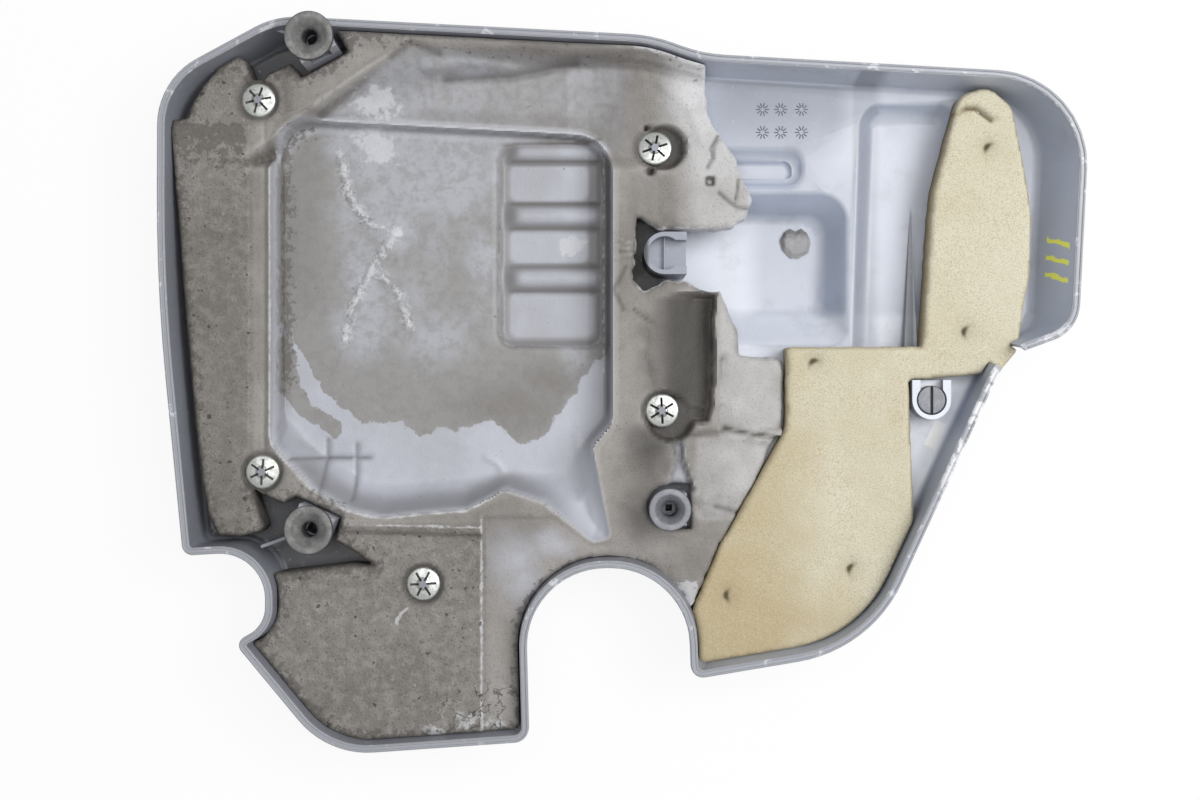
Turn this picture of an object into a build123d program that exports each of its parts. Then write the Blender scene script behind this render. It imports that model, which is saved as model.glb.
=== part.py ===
from build123d import *
import os
from math import cos, radians, sin

# A car engine cover lying on its outer face, engine side up.
# +X runs along its long side, +Z points out of the engine side, and the origin is
# under the middle of its box, on the surface that it lies on. All sizes are in mm.

os.makedirs("parts", exist_ok=True)

# Moulded shell
wall = 3.0
rim_level = 62.0
wing_floor_level = 27.0
dish_floor_level = 3.0
flange_width = 1.8
flange_height = 4.0
floor_round = 4.0
dish_round = 5.0
dish_lip = 2.0
round_steps = (0, 45, 90)
chamfer_steps = (0, 90)

# Rim corners, clockwise: x, y, radius at the rim, radius at the floor,
# and how far the wall that starts there leans in between rim and floor
rim_corners = [
    (-300.0, 196.5, 49, 45, 6),
    (-223.5, 238.0, 55, 50, 5),
    (19.0, 225.5, 100, 100, 4),
    (52.0, 213.5, 100, 100, 4),
    (303.0, 199.5, 61, 50, 18),
    (294.5, 34.5, 26, 20, 6),
    (247.5, 17.5, 38, 32, 1),
    (160.5, -171.0, 90, 86, 3),
    (44.5, -190.5, 8, 12, 2),
    (42.0, -118.5, 51, 50, 2),
    (-63.0, -118.5, 51, 50, 2),
    (-60.0, -230.5, 10, 14, 4),
    (-190.0, -239.5, 58, 55, 4),
    (-250.5, -166.5, 6, 6, 2),
    (-230.5, -155.5, 20, 8, 2),
    (-230.5, -107.5, 29, 25, 2),
    (-283.5, -110.5, 7, 12, 4),
    (-300.5, 64.0, 1200, 1200, 4),
]

# Dished areas of the floor, in the same form, with their corners at the wing floor
crown_corners = [
    (-239.5, 146.5, 20, 16, 12),
    (-211.0, 182.0, 20, 16, 12),
    (-21.0, 175.0, 20, 16, 12),
    (3.0, 146.5, 20, 16, 12),
    (3.0, -40.0, 20, 16, 12),
    (-35.0, -86.0, 20, 16, 12),
    (-183.0, -86.0, 20, 16, 12),
    (-239.5, -16.5, 20, 16, 12),
]
pocket_corners = [
    (-14.0, 127.5, 6, 9, 14.5),
    (150.0, 127.5, 17, 12, 14),
    (150.0, 26.0, 12, 10, 22),
    (-14.0, 26.0, 6, 9, 10),
]
trough_corners = [
    (160.0, 186.5, 13, 11, 3),
    (222.0, 186.5, 8, 9, 2),
    (200.0, 5.0, 8, 9, 3),
    (154.5, 5.0, 8, 9, 3),
]
trough_depth = 10.0
trough_round = 8.0
slot_corners = [
    (60.0, 158.0, 9, 8, 5),
    (121.0, 158.0, 9, 8, 3),
    (121.0, 132.0, 9, 8, 3),
    (60.0, 132.0, 9, 8, 3),
]
slot_depth = 6.0
slot_round = 3.0
inner_slot_corners = [
    (60.0, 150.0, 6, 4, 2),
    (114.0, 150.0, 6, 4, 2),
    (114.0, 135.0, 6, 4, 2),
    (60.0, 135.0, 6, 4, 2),
]
inner_slot_depth = 3.0
inner_slot_round = 1.5
fin_tip = (194.0, 120.5)
fin_foot_y = 8.0
fin_foot_x = (188.0, 198.0)
fin_height = 9.0

# Gap in the wall where the side foam passes over the edge
gap_centre = (248.0, 20.0)
gap_angle = -39.5
gap_width = 19.0
gap_length = 50.0

# U-shaped holders: x, y, top, direction of the open side, seat radius, level they stand on
holder_wall = 2.8
seat_ledge = 2.5
empty_seat_depth = 12.0
socket_ledge = 4.6
seat_draft = 0.3
ear_reach = 0.4
holder_foot = 3.0
upper_holder = (-199.5, 221.5, 76.0, -62.0, 9.6, wing_floor_level)
lower_holder = (-200.7, -93.0, 70.0, 65.6, 9.6, wing_floor_level)
centre_holder = (30.3, -80.0, 70.0, 0.0, 7.6, wing_floor_level)
empty_holder = (28.0, 86.0, 50.0, 0.0, 11.0, dish_floor_level)
buffer_holder = (203.0, -10.0, 45.0, 90.0, 9.9, wing_floor_level)
rib_thickness = 2.0
rib_top = 55.0
upper_rib = (160.0, 26.0)
lower_rib = (200.0, 36.0)
web_thickness = 1.0
web_height = 3.5

# Rubber ball sockets and the slit buffer
bore_radius = 4.75
socket_flange_height = 4.0
funnel_depth = 6.0
socket_depth = 21.0
flange_lip = 3.2
funnel_margin = 3.6
seat_clearance = 0.2
slit_width = 1.0
slit_depth = 4.0

# Studs with push nuts: x, y and the level that the nut is pushed down to
nut_places = [
    (-237.4, 185.7, 48.0),
    (-234.8, -57.0, 48.0),
    (-129.8, -130.0, 48.0),
    (21.8, 156.0, 38.0),
    (26.4, -17.0, 38.0),
]
stud_radius = 2.4
stud_above_nut = 4.0
nut_radius = 11.0
nut_thickness = 0.8
nut_slots = 6
nut_slot_width = 1.2
nut_slot_reach = 8.5
nut_clearance = 0.1

# Grey moulded foam
land_level = 52.0
right_land_level = 44.0
land_fall_x = (-60.0, 10.0)
recess_level = 16.0
cell_rim_level = 12.0
cell_level = 7.0
strip_level = 28.0
foam_clearance = 0.3
counterbore_radius = 14.5
hole_clearance = 0.6
front_outline = [
    (-303.0, 171.0), (-284.0, 174.0), (-281.0, 183.0), (-273.0, 196.5), (-262.5, 207.0), (-250.5, 214.0),
    (-245.0, 211.5), (-241.0, 199.0), (-234.0, 199.0), (-230.5, 203.5), (-216.0, 210.0), (-209.0, 200.5),
    (-179.0, 217.0), (-186.0, 231.0), (-186.0, 250.0), (54.0, 250.0), (54.0, 213.0), (56.0, 177.5),
    (74.5, 148.0), (85.5, 121.5), (81.0, 108.5), (70.0, 102.0), (24.0, 102.5), (10.0, 110.0),
    (7.3, 69.0), (14.0, 61.0), (29.0, 69.0), (42.0, 67.7), (56.0, 61.0), (64.0, 61.0),
    (72.5, 42.0), (76.5, 33.0), (77.0, 19.0), (106.0, 17.5), (105.0, -33.0), (99.8, -34.5),
    (80.0, -82.5), (63.5, -105.5), (53.5, -128.5), (43.0, -150.0), (-10.0, -150.0), (-58.0, -250.0),
    (-275.0, -250.0), (-262.0, -166.0), (-240.0, -130.0), (-224.0, -122.5), (-178.0, -117.0), (-161.0, -118.0),
    (-176.0, -108.5), (-187.0, -101.5), (-183.5, -86.5), (-212.6, -73.0), (-221.0, -77.5), (-228.0, -74.5),
    (-241.0, -68.0), (-239.0, -75.0), (-233.0, -92.5), (-236.0, -96.0), (-249.0, -99.0), (-263.5, -98.0),
    (-269.5, -85.5), (-273.5, -66.5), (-278.5, -23.0), (-286.5, 68.0), (-293.0, 160.0),
]
recess_corners = [
    (-228.5, 171.5, 24, 22, 3),
    (-9.0, 160.5, 24, 22, 5),
    (-9.0, -30.0, 15, 12, 12),
    (-40.0, -80.0, 15, 12, 16),
    (-170.0, -83.0, 25, 18, 14),
    (-228.5, -39.0, 25, 18, 12),
]
tongue_outline = [(-60.0, -78.0), (-9.0, -30.0), (-14.0, -99.0)]
tongue_span = (-45.0, -99.0)
strip_outline = [(-211.0, 168.0), (-155.0, 222.0), (12.0, 214.0), (-9.0, 150.0)]
strip_span = (166.0, 222.0)
cell_block = (-83.5, -15.0, 25.0, 154.0)
cell_rows = [(36.0, 63.5), (81.0, 105.0), (123.0, 147.0)]
cell_columns = (-76.0, -21.0)
cell_corner = 6.0
sunk_level = 34.0
sunk_outline = [(12.0, 58.0), (62.0, 58.0), (64.0, -10.0), (44.0, -14.0), (12.0, 2.0)]
seam_x = -91.5
seam_step = 1.5
seam_top_y = -86.0
groove_y = -33.5
groove_width = 4.0
groove_from_x = 66.0
centre_hole = (16.0, 46.0, -96.0, -66.0)
centre_hole_corner = 5.0

# Yellow cut foam sheet, with its corners clockwise as x, y and radius
sheet_thickness = 20.0
pin_radius = 1.8
pin_sides = 8
pin_below_top = 3.0
pin_places = [(125.0, 15.5), (149.0, -120.0), (68.0, -138.0), (224.0, 35.0), (239.0, 156.0), (232.5, 177.5)]
sheet_corners = [
    (107.5, 24.5, 2),
    (196.5, 25.0, 1),
    (203.5, 125.0, 120),
    (221.0, 189.0, 12),
    (240.0, 196.0, 14),
    (256.0, 182.0, 20),
    (268.0, 118.0, 80),
    (267.5, 75.0, 80),
    (258.5, 22.0, 1),
    (247.5, 8.5, 4),
    (188.0, 2.5, 1),
    (192.0, -114.0, 5),
    (171.0, -163.0, 30),
    (140.0, -175.0, 50),
    (46.0, -186.0, 6),
    (45.0, -151.0, 20),
    (64.5, -105.0, 60),
    (107.5, -29.5, 20),
]

# Small loose pieces
remnant_outline = [
    (109.0, 93.0), (108.2, 98.5), (110.5, 103.5), (115.0, 106.3), (119.0, 104.5), (122.5, 106.5),
    (127.0, 102.5), (129.0, 96.5), (127.0, 90.0), (121.5, 86.5), (115.0, 86.8),
]
remnant_thickness = 4.0
label_place = (208.6, -33.0)
label_size = (18.5, 8.0)
label_angle = 65.3
label_thickness = 0.3


def outline(corners, inset, share, level):
    """Rounded face at a level: each side moves in by the inset and by that share of its own lean."""
    count = len(corners)
    points = [Vector(c[0], c[1]) for c in corners]
    ways = [(points[(i + 1) % count] - points[i]).normalized() for i in range(count)]
    starts = []
    for point, way, corner in zip(points, ways, corners):
        starts.append(point + Vector(way.Y, -way.X) * (inset + corner[4] * share))
    moved = []
    radii = []
    for i, corner in enumerate(corners):
        turn = ways[i - 1].cross(ways[i]).Z
        along = (starts[i] - starts[i - 1]).cross(ways[i]).Z / turn
        moved.append(starts[i - 1] + ways[i - 1] * along)
        radius = corner[2] + (corner[3] - corner[2]) * share
        radii.append(max(radius - inset, 1.0) if turn < 0 else radius + inset)
    wire = FilletPolyline(*[(p.X, p.Y) for p in moved], radius=radii, close=True)
    return Pos(0, 0, level) * make_face(wire)


def tray(corners, top, bottom, inset, rounding, steps=round_steps):
    """Leaning body from the outline at the top down to a rounded edge at the bottom."""
    sections = [outline(corners, inset, 0, top)]
    for angle in steps:
        step_in = rounding * (1 - cos(radians(angle)))
        level = bottom + rounding * (1 - sin(radians(angle)))
        share = (top - level) / (top - bottom)
        sections.append(outline(corners, inset + step_in, share, level))
    return loft(sections, ruled=True)


def mouth_chamfer(corners, top, bottom):
    """Chamfered mouth of a dished area: wider by the lip at the top, and on the wall that far down."""
    share = dish_lip / (top - bottom)
    return loft([outline(corners, -dish_lip, 0, top), outline(corners, 0, share, top - dish_lip)], ruled=True)


def prism(points, bottom, top):
    """Straight body over a polygon of x, y points."""
    return Pos(0, 0, bottom) * extrude(make_face(Polyline(*points, close=True)), top - bottom)


def block(x_low, x_high, y_low, y_high, z_low, z_high, corner):
    """Upright block with rounded corners."""
    face = RectangleRounded(x_high - x_low, y_high - y_low, corner)
    place = Pos((x_low + x_high) / 2, (y_low + y_high) / 2, z_low)
    return place * extrude(face, z_high - z_low)


def post(x, y, radius, bottom, top):
    """Upright round post."""
    return Pos(x, y, bottom) * extrude(Circle(radius), top - bottom)


def pierced(x, y, radius, bottom, top):
    """Many-sided pin, or the hole that such a pin pierces in foam."""
    return Pos(x, y, bottom) * extrude(RegularPolygon(radius, pin_sides, major_radius=False), top - bottom)


def holder(place, seat_depth, ledge, ribs=()):
    """U-shaped tower with a drafted seat, square ears on its open side and, within a ledge, a square hollow."""
    x, y, top, angle, seat_radius, stand = place
    body_radius = seat_radius + holder_wall
    ear = body_radius + ear_reach
    root = stand - wall / 2
    plan = Circle(body_radius) + Pos(ear / 2, 0) * Rectangle(ear, 2 * body_radius)
    tower = Pos(0, 0, root) * extrude(plan, top - root)
    for rib_angle, rib_length in ribs:
        rib_plan = Pos(rib_length / 2, 0) * Rectangle(rib_length, rib_thickness)
        tower += Pos(0, 0, root) * Rot(0, 0, rib_angle - angle) * extrude(rib_plan, rib_top - root)
    seat_level = top - seat_depth
    seat_foot = Pos(0, 0, seat_level) * Circle(seat_radius - seat_draft)
    seat = loft([seat_foot, Pos(0, 0, top) * Circle(seat_radius)], ruled=True)
    if ledge:
        hollow_level = stand + holder_foot
        hollow_side = 2 * (seat_radius - ledge) * cos(radians(45))
        low = (Align.CENTER, Align.CENTER, Align.MIN)
        tower -= Pos(0, 0, hollow_level) * Box(hollow_side, hollow_side, seat_level - hollow_level, align=low)
    way = (Align.MIN, Align.CENTER, Align.MIN)
    mouth = Pos(0, 0, seat_level) * Box(ear + 1, 2 * (seat_radius - seat_ledge), seat_depth, align=way)
    return Pos(x, y, 0) * Rot(0, 0, angle) * (tower - seat - mouth)


def ball_socket(place, depth):
    """Rubber socket: a flange on the holder's top, a plug in its seat, a funnel and a straight bore."""
    x, y, top, angle, seat_radius, stand = place
    plug_radius = seat_radius - seat_draft - seat_clearance
    flange_radius = seat_radius + holder_wall + flange_lip
    below = socket_flange_height - depth
    profile = [
        (bore_radius, below),
        (plug_radius, below),
        (plug_radius, 0),
        (flange_radius, 0),
        (flange_radius, socket_flange_height),
        (flange_radius - funnel_margin, socket_flange_height),
        (bore_radius, socket_flange_height - funnel_depth),
    ]
    section = Plane.XZ * make_face(Polyline(*profile, close=True))
    return Pos(x, y, top) * revolve(section, Axis.Z)


# The space inside the shell, and the same space drawn in by the foam's clearance
cavity = tray(rim_corners, rim_level, wing_floor_level, flange_width + wall, floor_round)
foam_inset = flange_width + wall + foam_clearance
foam_space = tray(rim_corners, rim_level, wing_floor_level, foam_inset, floor_round, chamfer_steps)
foam_space += tray(crown_corners, wing_floor_level, dish_floor_level, foam_clearance, dish_round, chamfer_steps)

# Cover shell: outer skin, flange round the rim, then the hollow and the dished areas
outer = tray(rim_corners, rim_level, wing_floor_level - wall, flange_width, floor_round + wall)
flange = extrude(outline(rim_corners, 0, 0, rim_level - flange_height), flange_height)
trough_level = wing_floor_level - trough_depth
slot_level = wing_floor_level - slot_depth
inner_slot_level = slot_level - inner_slot_depth
dishes = [
    (crown_corners, wing_floor_level, dish_floor_level, dish_round),
    (pocket_corners, wing_floor_level, dish_floor_level, dish_round),
    (trough_corners, wing_floor_level, trough_level, trough_round),
    (slot_corners, wing_floor_level, slot_level, slot_round),
    (inner_slot_corners, slot_level, inner_slot_level, inner_slot_round),
]
cover_shell = outer + flange
for corners, top, level, rounding in dishes:
    cover_shell += tray(corners, top, level - wall, -wall, rounding + wall)
cover_shell -= cavity
for corners, top, level, rounding in dishes:
    cover_shell -= tray(corners, top, level, 0, rounding)
for corners, top, level, rounding in dishes[1:4]:
    cover_shell -= mouth_chamfer(corners, top, level)

# Gap in the wall, and a slimmer one that the foam sheet keeps to
gap_height = rim_level - wing_floor_level
gap_base = Pos(*gap_centre, wing_floor_level + gap_height / 2) * Rot(0, 0, gap_angle)
cover_shell -= gap_base * Box(gap_length, gap_width, gap_height)
gap_space = gap_base * Box(gap_length, gap_width - 2 * foam_clearance, gap_height)

# Tapered fin on the trough floor: a wedge in plan cut by a wedge in side view
fin_plan = [fin_tip, (fin_foot_x[1], fin_foot_y), (fin_foot_x[0], fin_foot_y)]
fin_root = trough_level - wall / 2
fin_side = [
    (fin_tip[1], fin_root),
    (fin_foot_y, fin_root),
    (fin_foot_y, trough_level + fin_height),
    (fin_tip[1], trough_level),
]
fin_slice = Plane.YZ * make_face(Polyline(*fin_side, close=True))
fin = prism(fin_plan, fin_root, trough_level + fin_height) & extrude(fin_slice, fin_foot_x[1] + wall)
cover_shell += fin

# Holders, trimmed to the outside of the cover, then studs and pins
envelope = outer + extrude(outline(rim_corners, 0, 0, rim_level - flange_height), rim_level)
seat_depth = socket_depth - socket_flange_height
cover_shell += holder(upper_holder, seat_depth, socket_ledge, [upper_rib]) & envelope
cover_shell += holder(lower_holder, seat_depth, socket_ledge, [lower_rib]) & envelope
cover_shell += holder(centre_holder, seat_depth, socket_ledge)
buffer_depth = 2 * slit_depth
cover_shell += holder(empty_holder, empty_seat_depth, None)
cover_shell += holder(buffer_holder, buffer_depth, seat_ledge)
empty_x, empty_y, empty_top, _, empty_radius, _ = empty_holder
web_foot = empty_top - empty_seat_depth - wall / 2
web_top = empty_top - empty_seat_depth + web_height
web_reach = 2 * empty_radius + holder_wall
cover_shell += block(
    empty_x - web_thickness / 2, empty_x + web_thickness / 2, empty_y - web_reach / 2, empty_y + web_reach / 2,
    web_foot, web_top, web_thickness / 4
)
for x, y, level in nut_places:
    cover_shell += post(x, y, stud_radius, wing_floor_level - wall / 2, level + stud_above_nut)
sheet_top = wing_floor_level + sheet_thickness
for x, y in pin_places:
    cover_shell += pierced(x, y, pin_radius, wing_floor_level - wall / 2, sheet_top - pin_below_top)

# Grey foam: its torn outline within the shell, then falls, recesses, holes and steps
front_absorber = prism(front_outline, dish_floor_level, land_level) & foam_space
above = land_level + wall
reach = rim_corners[4][0] - rim_corners[0][0]
fall_side = [
    (land_fall_x[0], land_level),
    (land_fall_x[1], right_land_level),
    (reach, right_land_level),
    (reach, above),
    (land_fall_x[0], above),
]
fall_slice = Plane.XZ * make_face(Polyline(*fall_side, close=True))
front_absorber -= extrude(fall_slice, reach, both=True)
for plan, span in ((strip_outline, strip_span), (tongue_outline, tongue_span)):
    low_y, high_y = span
    slope_side = [(low_y, strip_level), (high_y, land_level), (high_y, above), (low_y, above)]
    slope_slice = Plane.YZ * make_face(Polyline(*slope_side, close=True))
    front_absorber -= extrude(slope_slice, reach, both=True) & prism(plan, strip_level, above)
front_absorber -= loft(
    [outline(recess_corners, 0, 0, land_level), outline(recess_corners, 0, 1, recess_level)], ruled=True
)
front_absorber -= block(*cell_block, cell_rim_level, recess_level, cell_corner)
for row in cell_rows:
    front_absorber -= block(*cell_columns, *row, cell_level, recess_level, cell_corner)
front_absorber -= prism(sunk_outline, sunk_level, above)
front_absorber -= block(*centre_hole, wing_floor_level - wall, above, centre_hole_corner)
front_absorber -= Pos(seam_x, seam_top_y, land_level - seam_step) * Box(
    reach, reach, above, align=(Align.MIN, Align.MAX, Align.MIN)
)
front_absorber -= Pos(groove_from_x, groove_y, sunk_level) * Box(
    reach, groove_width, above, align=(Align.MIN, Align.CENTER, Align.MIN)
)
for x, y, level in nut_places:
    front_absorber -= post(x, y, counterbore_radius, level, above)
    front_absorber -= pierced(x, y, stud_radius + hole_clearance, wing_floor_level - wall, above)

# Yellow foam sheet, with the grey foam cut back to clear it
sheet_points = [(x, y) for x, y, radius in sheet_corners]
sheet_radii = [radius for x, y, radius in sheet_corners]
sheet_face = make_face(FilletPolyline(*sheet_points, radius=sheet_radii, close=True))
sheet_keep = offset(sheet_face, foam_clearance)
front_absorber -= Pos(0, 0, wing_floor_level) * extrude(sheet_keep, land_level)
sheet_space = foam_space + gap_space
side_absorber = Pos(0, 0, wing_floor_level) * extrude(sheet_face, sheet_thickness) & sheet_space
for x, y in pin_places:
    side_absorber -= pierced(x, y, pin_radius + hole_clearance, wing_floor_level, sheet_top)
buffer_x, buffer_y, buffer_top, _, buffer_radius, buffer_stand = buffer_holder
buffer_keep = buffer_radius + holder_wall + ear_reach + hole_clearance
side_absorber -= block(
    buffer_x - buffer_keep, buffer_x + buffer_keep, buffer_y - buffer_keep, buffer_y + buffer_keep,
    buffer_stand, sheet_top, hole_clearance
)

# Push nut: a thin disc with a star of radial slots round its stud hole
nut_plan = Circle(nut_radius) - Circle(stud_radius + nut_clearance)
for turn in range(nut_slots):
    nut_slot = Pos(nut_slot_reach / 2, 0) * Rectangle(nut_slot_reach, nut_slot_width)
    nut_plan -= Rot(0, 0, turn * 360 / nut_slots) * nut_slot
nut = extrude(nut_plan, nut_thickness)
push_nuts = Compound([Pos(*place) * nut.solid() for place in nut_places])

# Rubber pieces
upper_socket = ball_socket(upper_holder, socket_depth)
lower_socket = ball_socket(lower_holder, socket_depth)
centre_socket = ball_socket(centre_holder, socket_depth)
buffer_size = buffer_radius - seat_draft - seat_clearance
slit_buffer = post(buffer_x, buffer_y, buffer_size, buffer_top - buffer_depth, buffer_top)
slit_buffer -= Pos(buffer_x, buffer_y, buffer_top - slit_depth / 2) * Box(slit_width, 2 * buffer_size, slit_depth)

# Torn disc of foam on the pocket floor, and the blank label on the wing floor
foam_remnant = prism(remnant_outline, dish_floor_level, dish_floor_level + remnant_thickness)
label_face = Rot(0, 0, label_angle) * Rectangle(*label_size)
blank_label = Pos(*label_place, wing_floor_level) * extrude(label_face, label_thickness)

nodes = {
    "cover_shell": cover_shell,
    "front_absorber": front_absorber,
    "side_absorber": side_absorber,
    "push_nuts": push_nuts,
    "upper_socket": upper_socket,
    "lower_socket": lower_socket,
    "centre_socket": centre_socket,
    "slit_buffer": slit_buffer,
    "foam_remnant": foam_remnant,
    "blank_label": blank_label,
}
for name, shape in nodes.items():
    export_step(shape, f"parts/{name}.step")
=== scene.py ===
# %% [markdown]
# # An engine cover seen from its engine side
# The part lies on its outer face, so the camera looks into it: a grey plastic moulding, a torn sheet of
# moulded grey foam, a cut sheet of yellow foam, rubber ball sockets and five push nuts. The CAD frame gives
# the places. This lesson gives each piece the surface and the finish that it has on the real object.

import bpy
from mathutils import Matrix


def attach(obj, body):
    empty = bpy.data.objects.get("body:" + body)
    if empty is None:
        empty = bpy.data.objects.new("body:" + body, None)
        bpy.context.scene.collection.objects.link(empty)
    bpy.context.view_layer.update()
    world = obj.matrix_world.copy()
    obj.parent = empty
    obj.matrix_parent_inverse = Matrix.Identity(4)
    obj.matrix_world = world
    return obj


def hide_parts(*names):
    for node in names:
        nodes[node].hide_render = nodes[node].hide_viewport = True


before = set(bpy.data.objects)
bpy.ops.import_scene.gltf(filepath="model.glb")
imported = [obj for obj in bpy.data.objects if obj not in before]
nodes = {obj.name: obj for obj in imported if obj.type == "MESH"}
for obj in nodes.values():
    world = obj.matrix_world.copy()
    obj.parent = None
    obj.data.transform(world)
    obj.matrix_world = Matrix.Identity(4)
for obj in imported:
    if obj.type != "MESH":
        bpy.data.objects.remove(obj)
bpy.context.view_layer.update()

from math import radians

import bpy
import numpy as np
from mathutils import Vector

print("frame nodes:", sorted(nodes))

# %% [markdown]
# ## Small tools for plan shapes
# Nearly everything here is a body over a plan, seen from above. Blender's modelling tools could cut each
# outline by hand, but a distance field is easier to change: a number at each point says how far it is from
# an outline, negative inside. Two outlines are joined or cut with a minimum or a maximum, and the same
# number rounds an edge or darkens a gap.

# %% Distances, steps and lumps
MM = 0.001


def smooth(low, high, value):
    """Soft step: 0 at low, 1 at high and 3t^2 - 2t^3 between, with t the share of the way."""
    t = np.clip((value - low) / (high - low), 0.0, 1.0)
    return t * t * (3.0 - 2.0 * t)


def line_distance(points, x, y, closed=False):
    """Distance to a chain of straight runs: the least over the runs of the distance to the nearest point of
    the run, whose share along it is held between 0 and 1."""
    ends = np.asarray(points, float)
    pairs = list(zip(ends[:-1], ends[1:]))
    if closed:
        pairs.append((ends[-1], ends[0]))
    best = np.full(np.shape(x), 1e9)
    for a, b in pairs:
        run = b - a
        share = np.clip(((x - a[0]) * run[0] + (y - a[1]) * run[1]) / (run @ run), 0.0, 1.0)
        best = np.minimum(best, np.hypot(x - a[0] - share * run[0], y - a[1] - share * run[1]))
    return best


def plan_distance(points, x, y):
    """Signed distance to a closed outline: the line distance, made negative where a ray to the right
    crosses the outline an odd number of times."""
    ends = np.asarray(points, float)
    inside = np.zeros(np.shape(x), bool)
    for a, b in zip(ends, np.roll(ends, -1, axis=0)):
        if a[1] != b[1]:
            between = (a[1] > y) != (b[1] > y)
            inside ^= between & (x < a[0] + (y - a[1]) * (b[0] - a[0]) / (b[1] - a[1]))
    away = line_distance(points, x, y, closed=True)
    return np.where(inside, -away, away)


def box_distance(box, corner, x, y):
    """Signed distance to an upright box with rounded corners: the box drawn in by the corner radius, then
    the radius taken off the distance."""
    across = np.abs(x - (box[0] + box[1]) / 2) - (box[1] - box[0]) / 2 + corner
    along = np.abs(y - (box[2] + box[3]) / 2) - (box[3] - box[2]) / 2 + corner
    outside = np.hypot(np.maximum(across, 0), np.maximum(along, 0))
    return outside + np.minimum(np.maximum(across, along), 0) - corner


def rounded(corners, steps=9):
    """Outline with an arc at each corner: the arc's centre lies on the corner's middle line, and its points
    turn evenly from one straight side to the next."""
    data = np.asarray(corners, float)
    point, radius = data[:, :2], data[:, 2]
    back = np.roll(point, 1, axis=0) - point
    ahead = np.roll(point, -1, axis=0) - point
    back /= np.linalg.norm(back, axis=1)[:, None]
    ahead /= np.linalg.norm(ahead, axis=1)[:, None]
    half = np.arccos(np.clip((back * ahead).sum(axis=1), -1, 1)) / 2
    middle = (back + ahead) / np.linalg.norm(back + ahead, axis=1)[:, None]
    centre = point + middle * (radius / np.sin(half))[:, None]
    first = point + back * (radius / np.tan(half))[:, None] - centre
    last = point + ahead * (radius / np.tan(half))[:, None] - centre
    turn = (np.pi - 2 * half)[:, None, None]
    t = np.linspace(0, 1, steps)[None, :, None]
    arcs = (np.sin((1 - t) * turn) * first[:, None] + np.sin(t * turn) * last[:, None]) / np.sin(turn)
    return (centre[:, None] + arcs).reshape(-1, 2)


def lumps(x, y, size, seed):
    """Smooth random field from -1 to 1: seeded values on a square lattice of that size, blended with soft
    steps."""
    table = np.random.default_rng(seed).uniform(-1, 1, (97, 97))
    u, v = x / size + 970.3, y / size + 970.7
    i, j = np.floor(u).astype(int), np.floor(v).astype(int)
    f, g = u - i, v - j
    f, g = f * f * (3 - 2 * f), g * g * (3 - 2 * g)
    i0, i1, j0, j1 = i % 97, (i + 1) % 97, j % 97, (j + 1) % 97
    low = table[i0, j0] * (1 - f) + table[i1, j0] * f
    high = table[i0, j1] * (1 - f) + table[i1, j1] * f
    return low * (1 - g) + high * g


print("soft step halfway:", smooth(0, 1, 0.5))

# %% [markdown]
# ## From arrays to meshes
# A body over a plan could be extruded and sculpted. Here a grid is laid over the plan, the squares inside
# the outline are kept and the border points slide onto the outline, so a torn edge is as crisp as a cut
# one. One function then gives the top, another the underside, and a wall joins the two into a closed body.

# %% Build closed bodies
def lines(low, high, step, fine=()):
    """Grid lines from low to high: the spacing is the step, and smaller within each fine span (from, to,
    spacing) with soft ends; the lines sit where the running sum of one over the spacing reaches whole
    numbers."""
    s = np.linspace(low, high, 6000)
    spacing = np.full_like(s, step)
    for start, end, small in fine:
        inside = smooth(start - 6, start, s) * smooth(end + 6, end, s)
        spacing = spacing + (np.minimum(spacing, small) - spacing) * inside
    count = np.concatenate([[0.0], np.cumsum((s[1] - s[0]) / spacing[1:])])
    return np.interp(np.linspace(0, count[-1], int(count[-1]) + 1), count, s)


def plate(x_lines, y_lines, outline, top, bottom):
    """Closed body over a plan, in mm: grid cells whose mean outline distance is negative are kept, border
    points move down the distance's slope to zero, top(x, y, d) and bottom(x, y, z) give the heights."""
    x, y = np.meshgrid(x_lines, y_lines, indexing="ij")
    d = outline(x, y)
    keep = (d[:-1, :-1] + d[1:, :-1] + d[:-1, 1:] + d[1:, 1:]) < 0
    ring = np.pad(keep, 1).astype(int)
    cells = ring[:-1, :-1] + ring[1:, :-1] + ring[:-1, 1:] + ring[1:, 1:]
    border = (cells > 0) & (cells < 4)
    slope_x, slope_y = np.gradient(d, x_lines, y_lines)
    reach = np.diff(x_lines).max()
    shift = np.clip(d, -reach, reach) / np.maximum(slope_x**2 + slope_y**2, 0.3)
    x = np.where(border, x - shift * slope_x, x)
    y = np.where(border, y - shift * slope_y, y)
    used = cells > 0
    number = np.full(d.shape, -1)
    number[used] = np.arange(used.sum())
    px, py = x[used], y[used]
    upper = top(px, py, np.minimum(outline(px, py), 0.0))
    lower = bottom(px, py, upper)
    count = len(px)
    n00, n10, n11, n01 = number[:-1, :-1], number[1:, :-1], number[1:, 1:], number[:-1, 1:]
    lid = np.stack([n00[keep], n10[keep], n11[keep], n01[keep]], axis=1)
    open_left, open_right = keep & (ring[:-2, 1:-1] == 0), keep & (ring[2:, 1:-1] == 0)
    open_low, open_high = keep & (ring[1:-1, :-2] == 0), keep & (ring[1:-1, 2:] == 0)
    start = np.concatenate([n01[open_left], n00[open_low], n10[open_right], n11[open_high]])
    end = np.concatenate([n00[open_left], n10[open_low], n11[open_right], n01[open_high]])
    wall = np.stack([end, start, start + count, end + count], axis=1)
    faces = np.concatenate([lid, lid[:, ::-1] + count, wall])
    points = np.concatenate([np.stack([px, py, upper], axis=1), np.stack([px, py, lower], axis=1)])
    return points, faces


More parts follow.
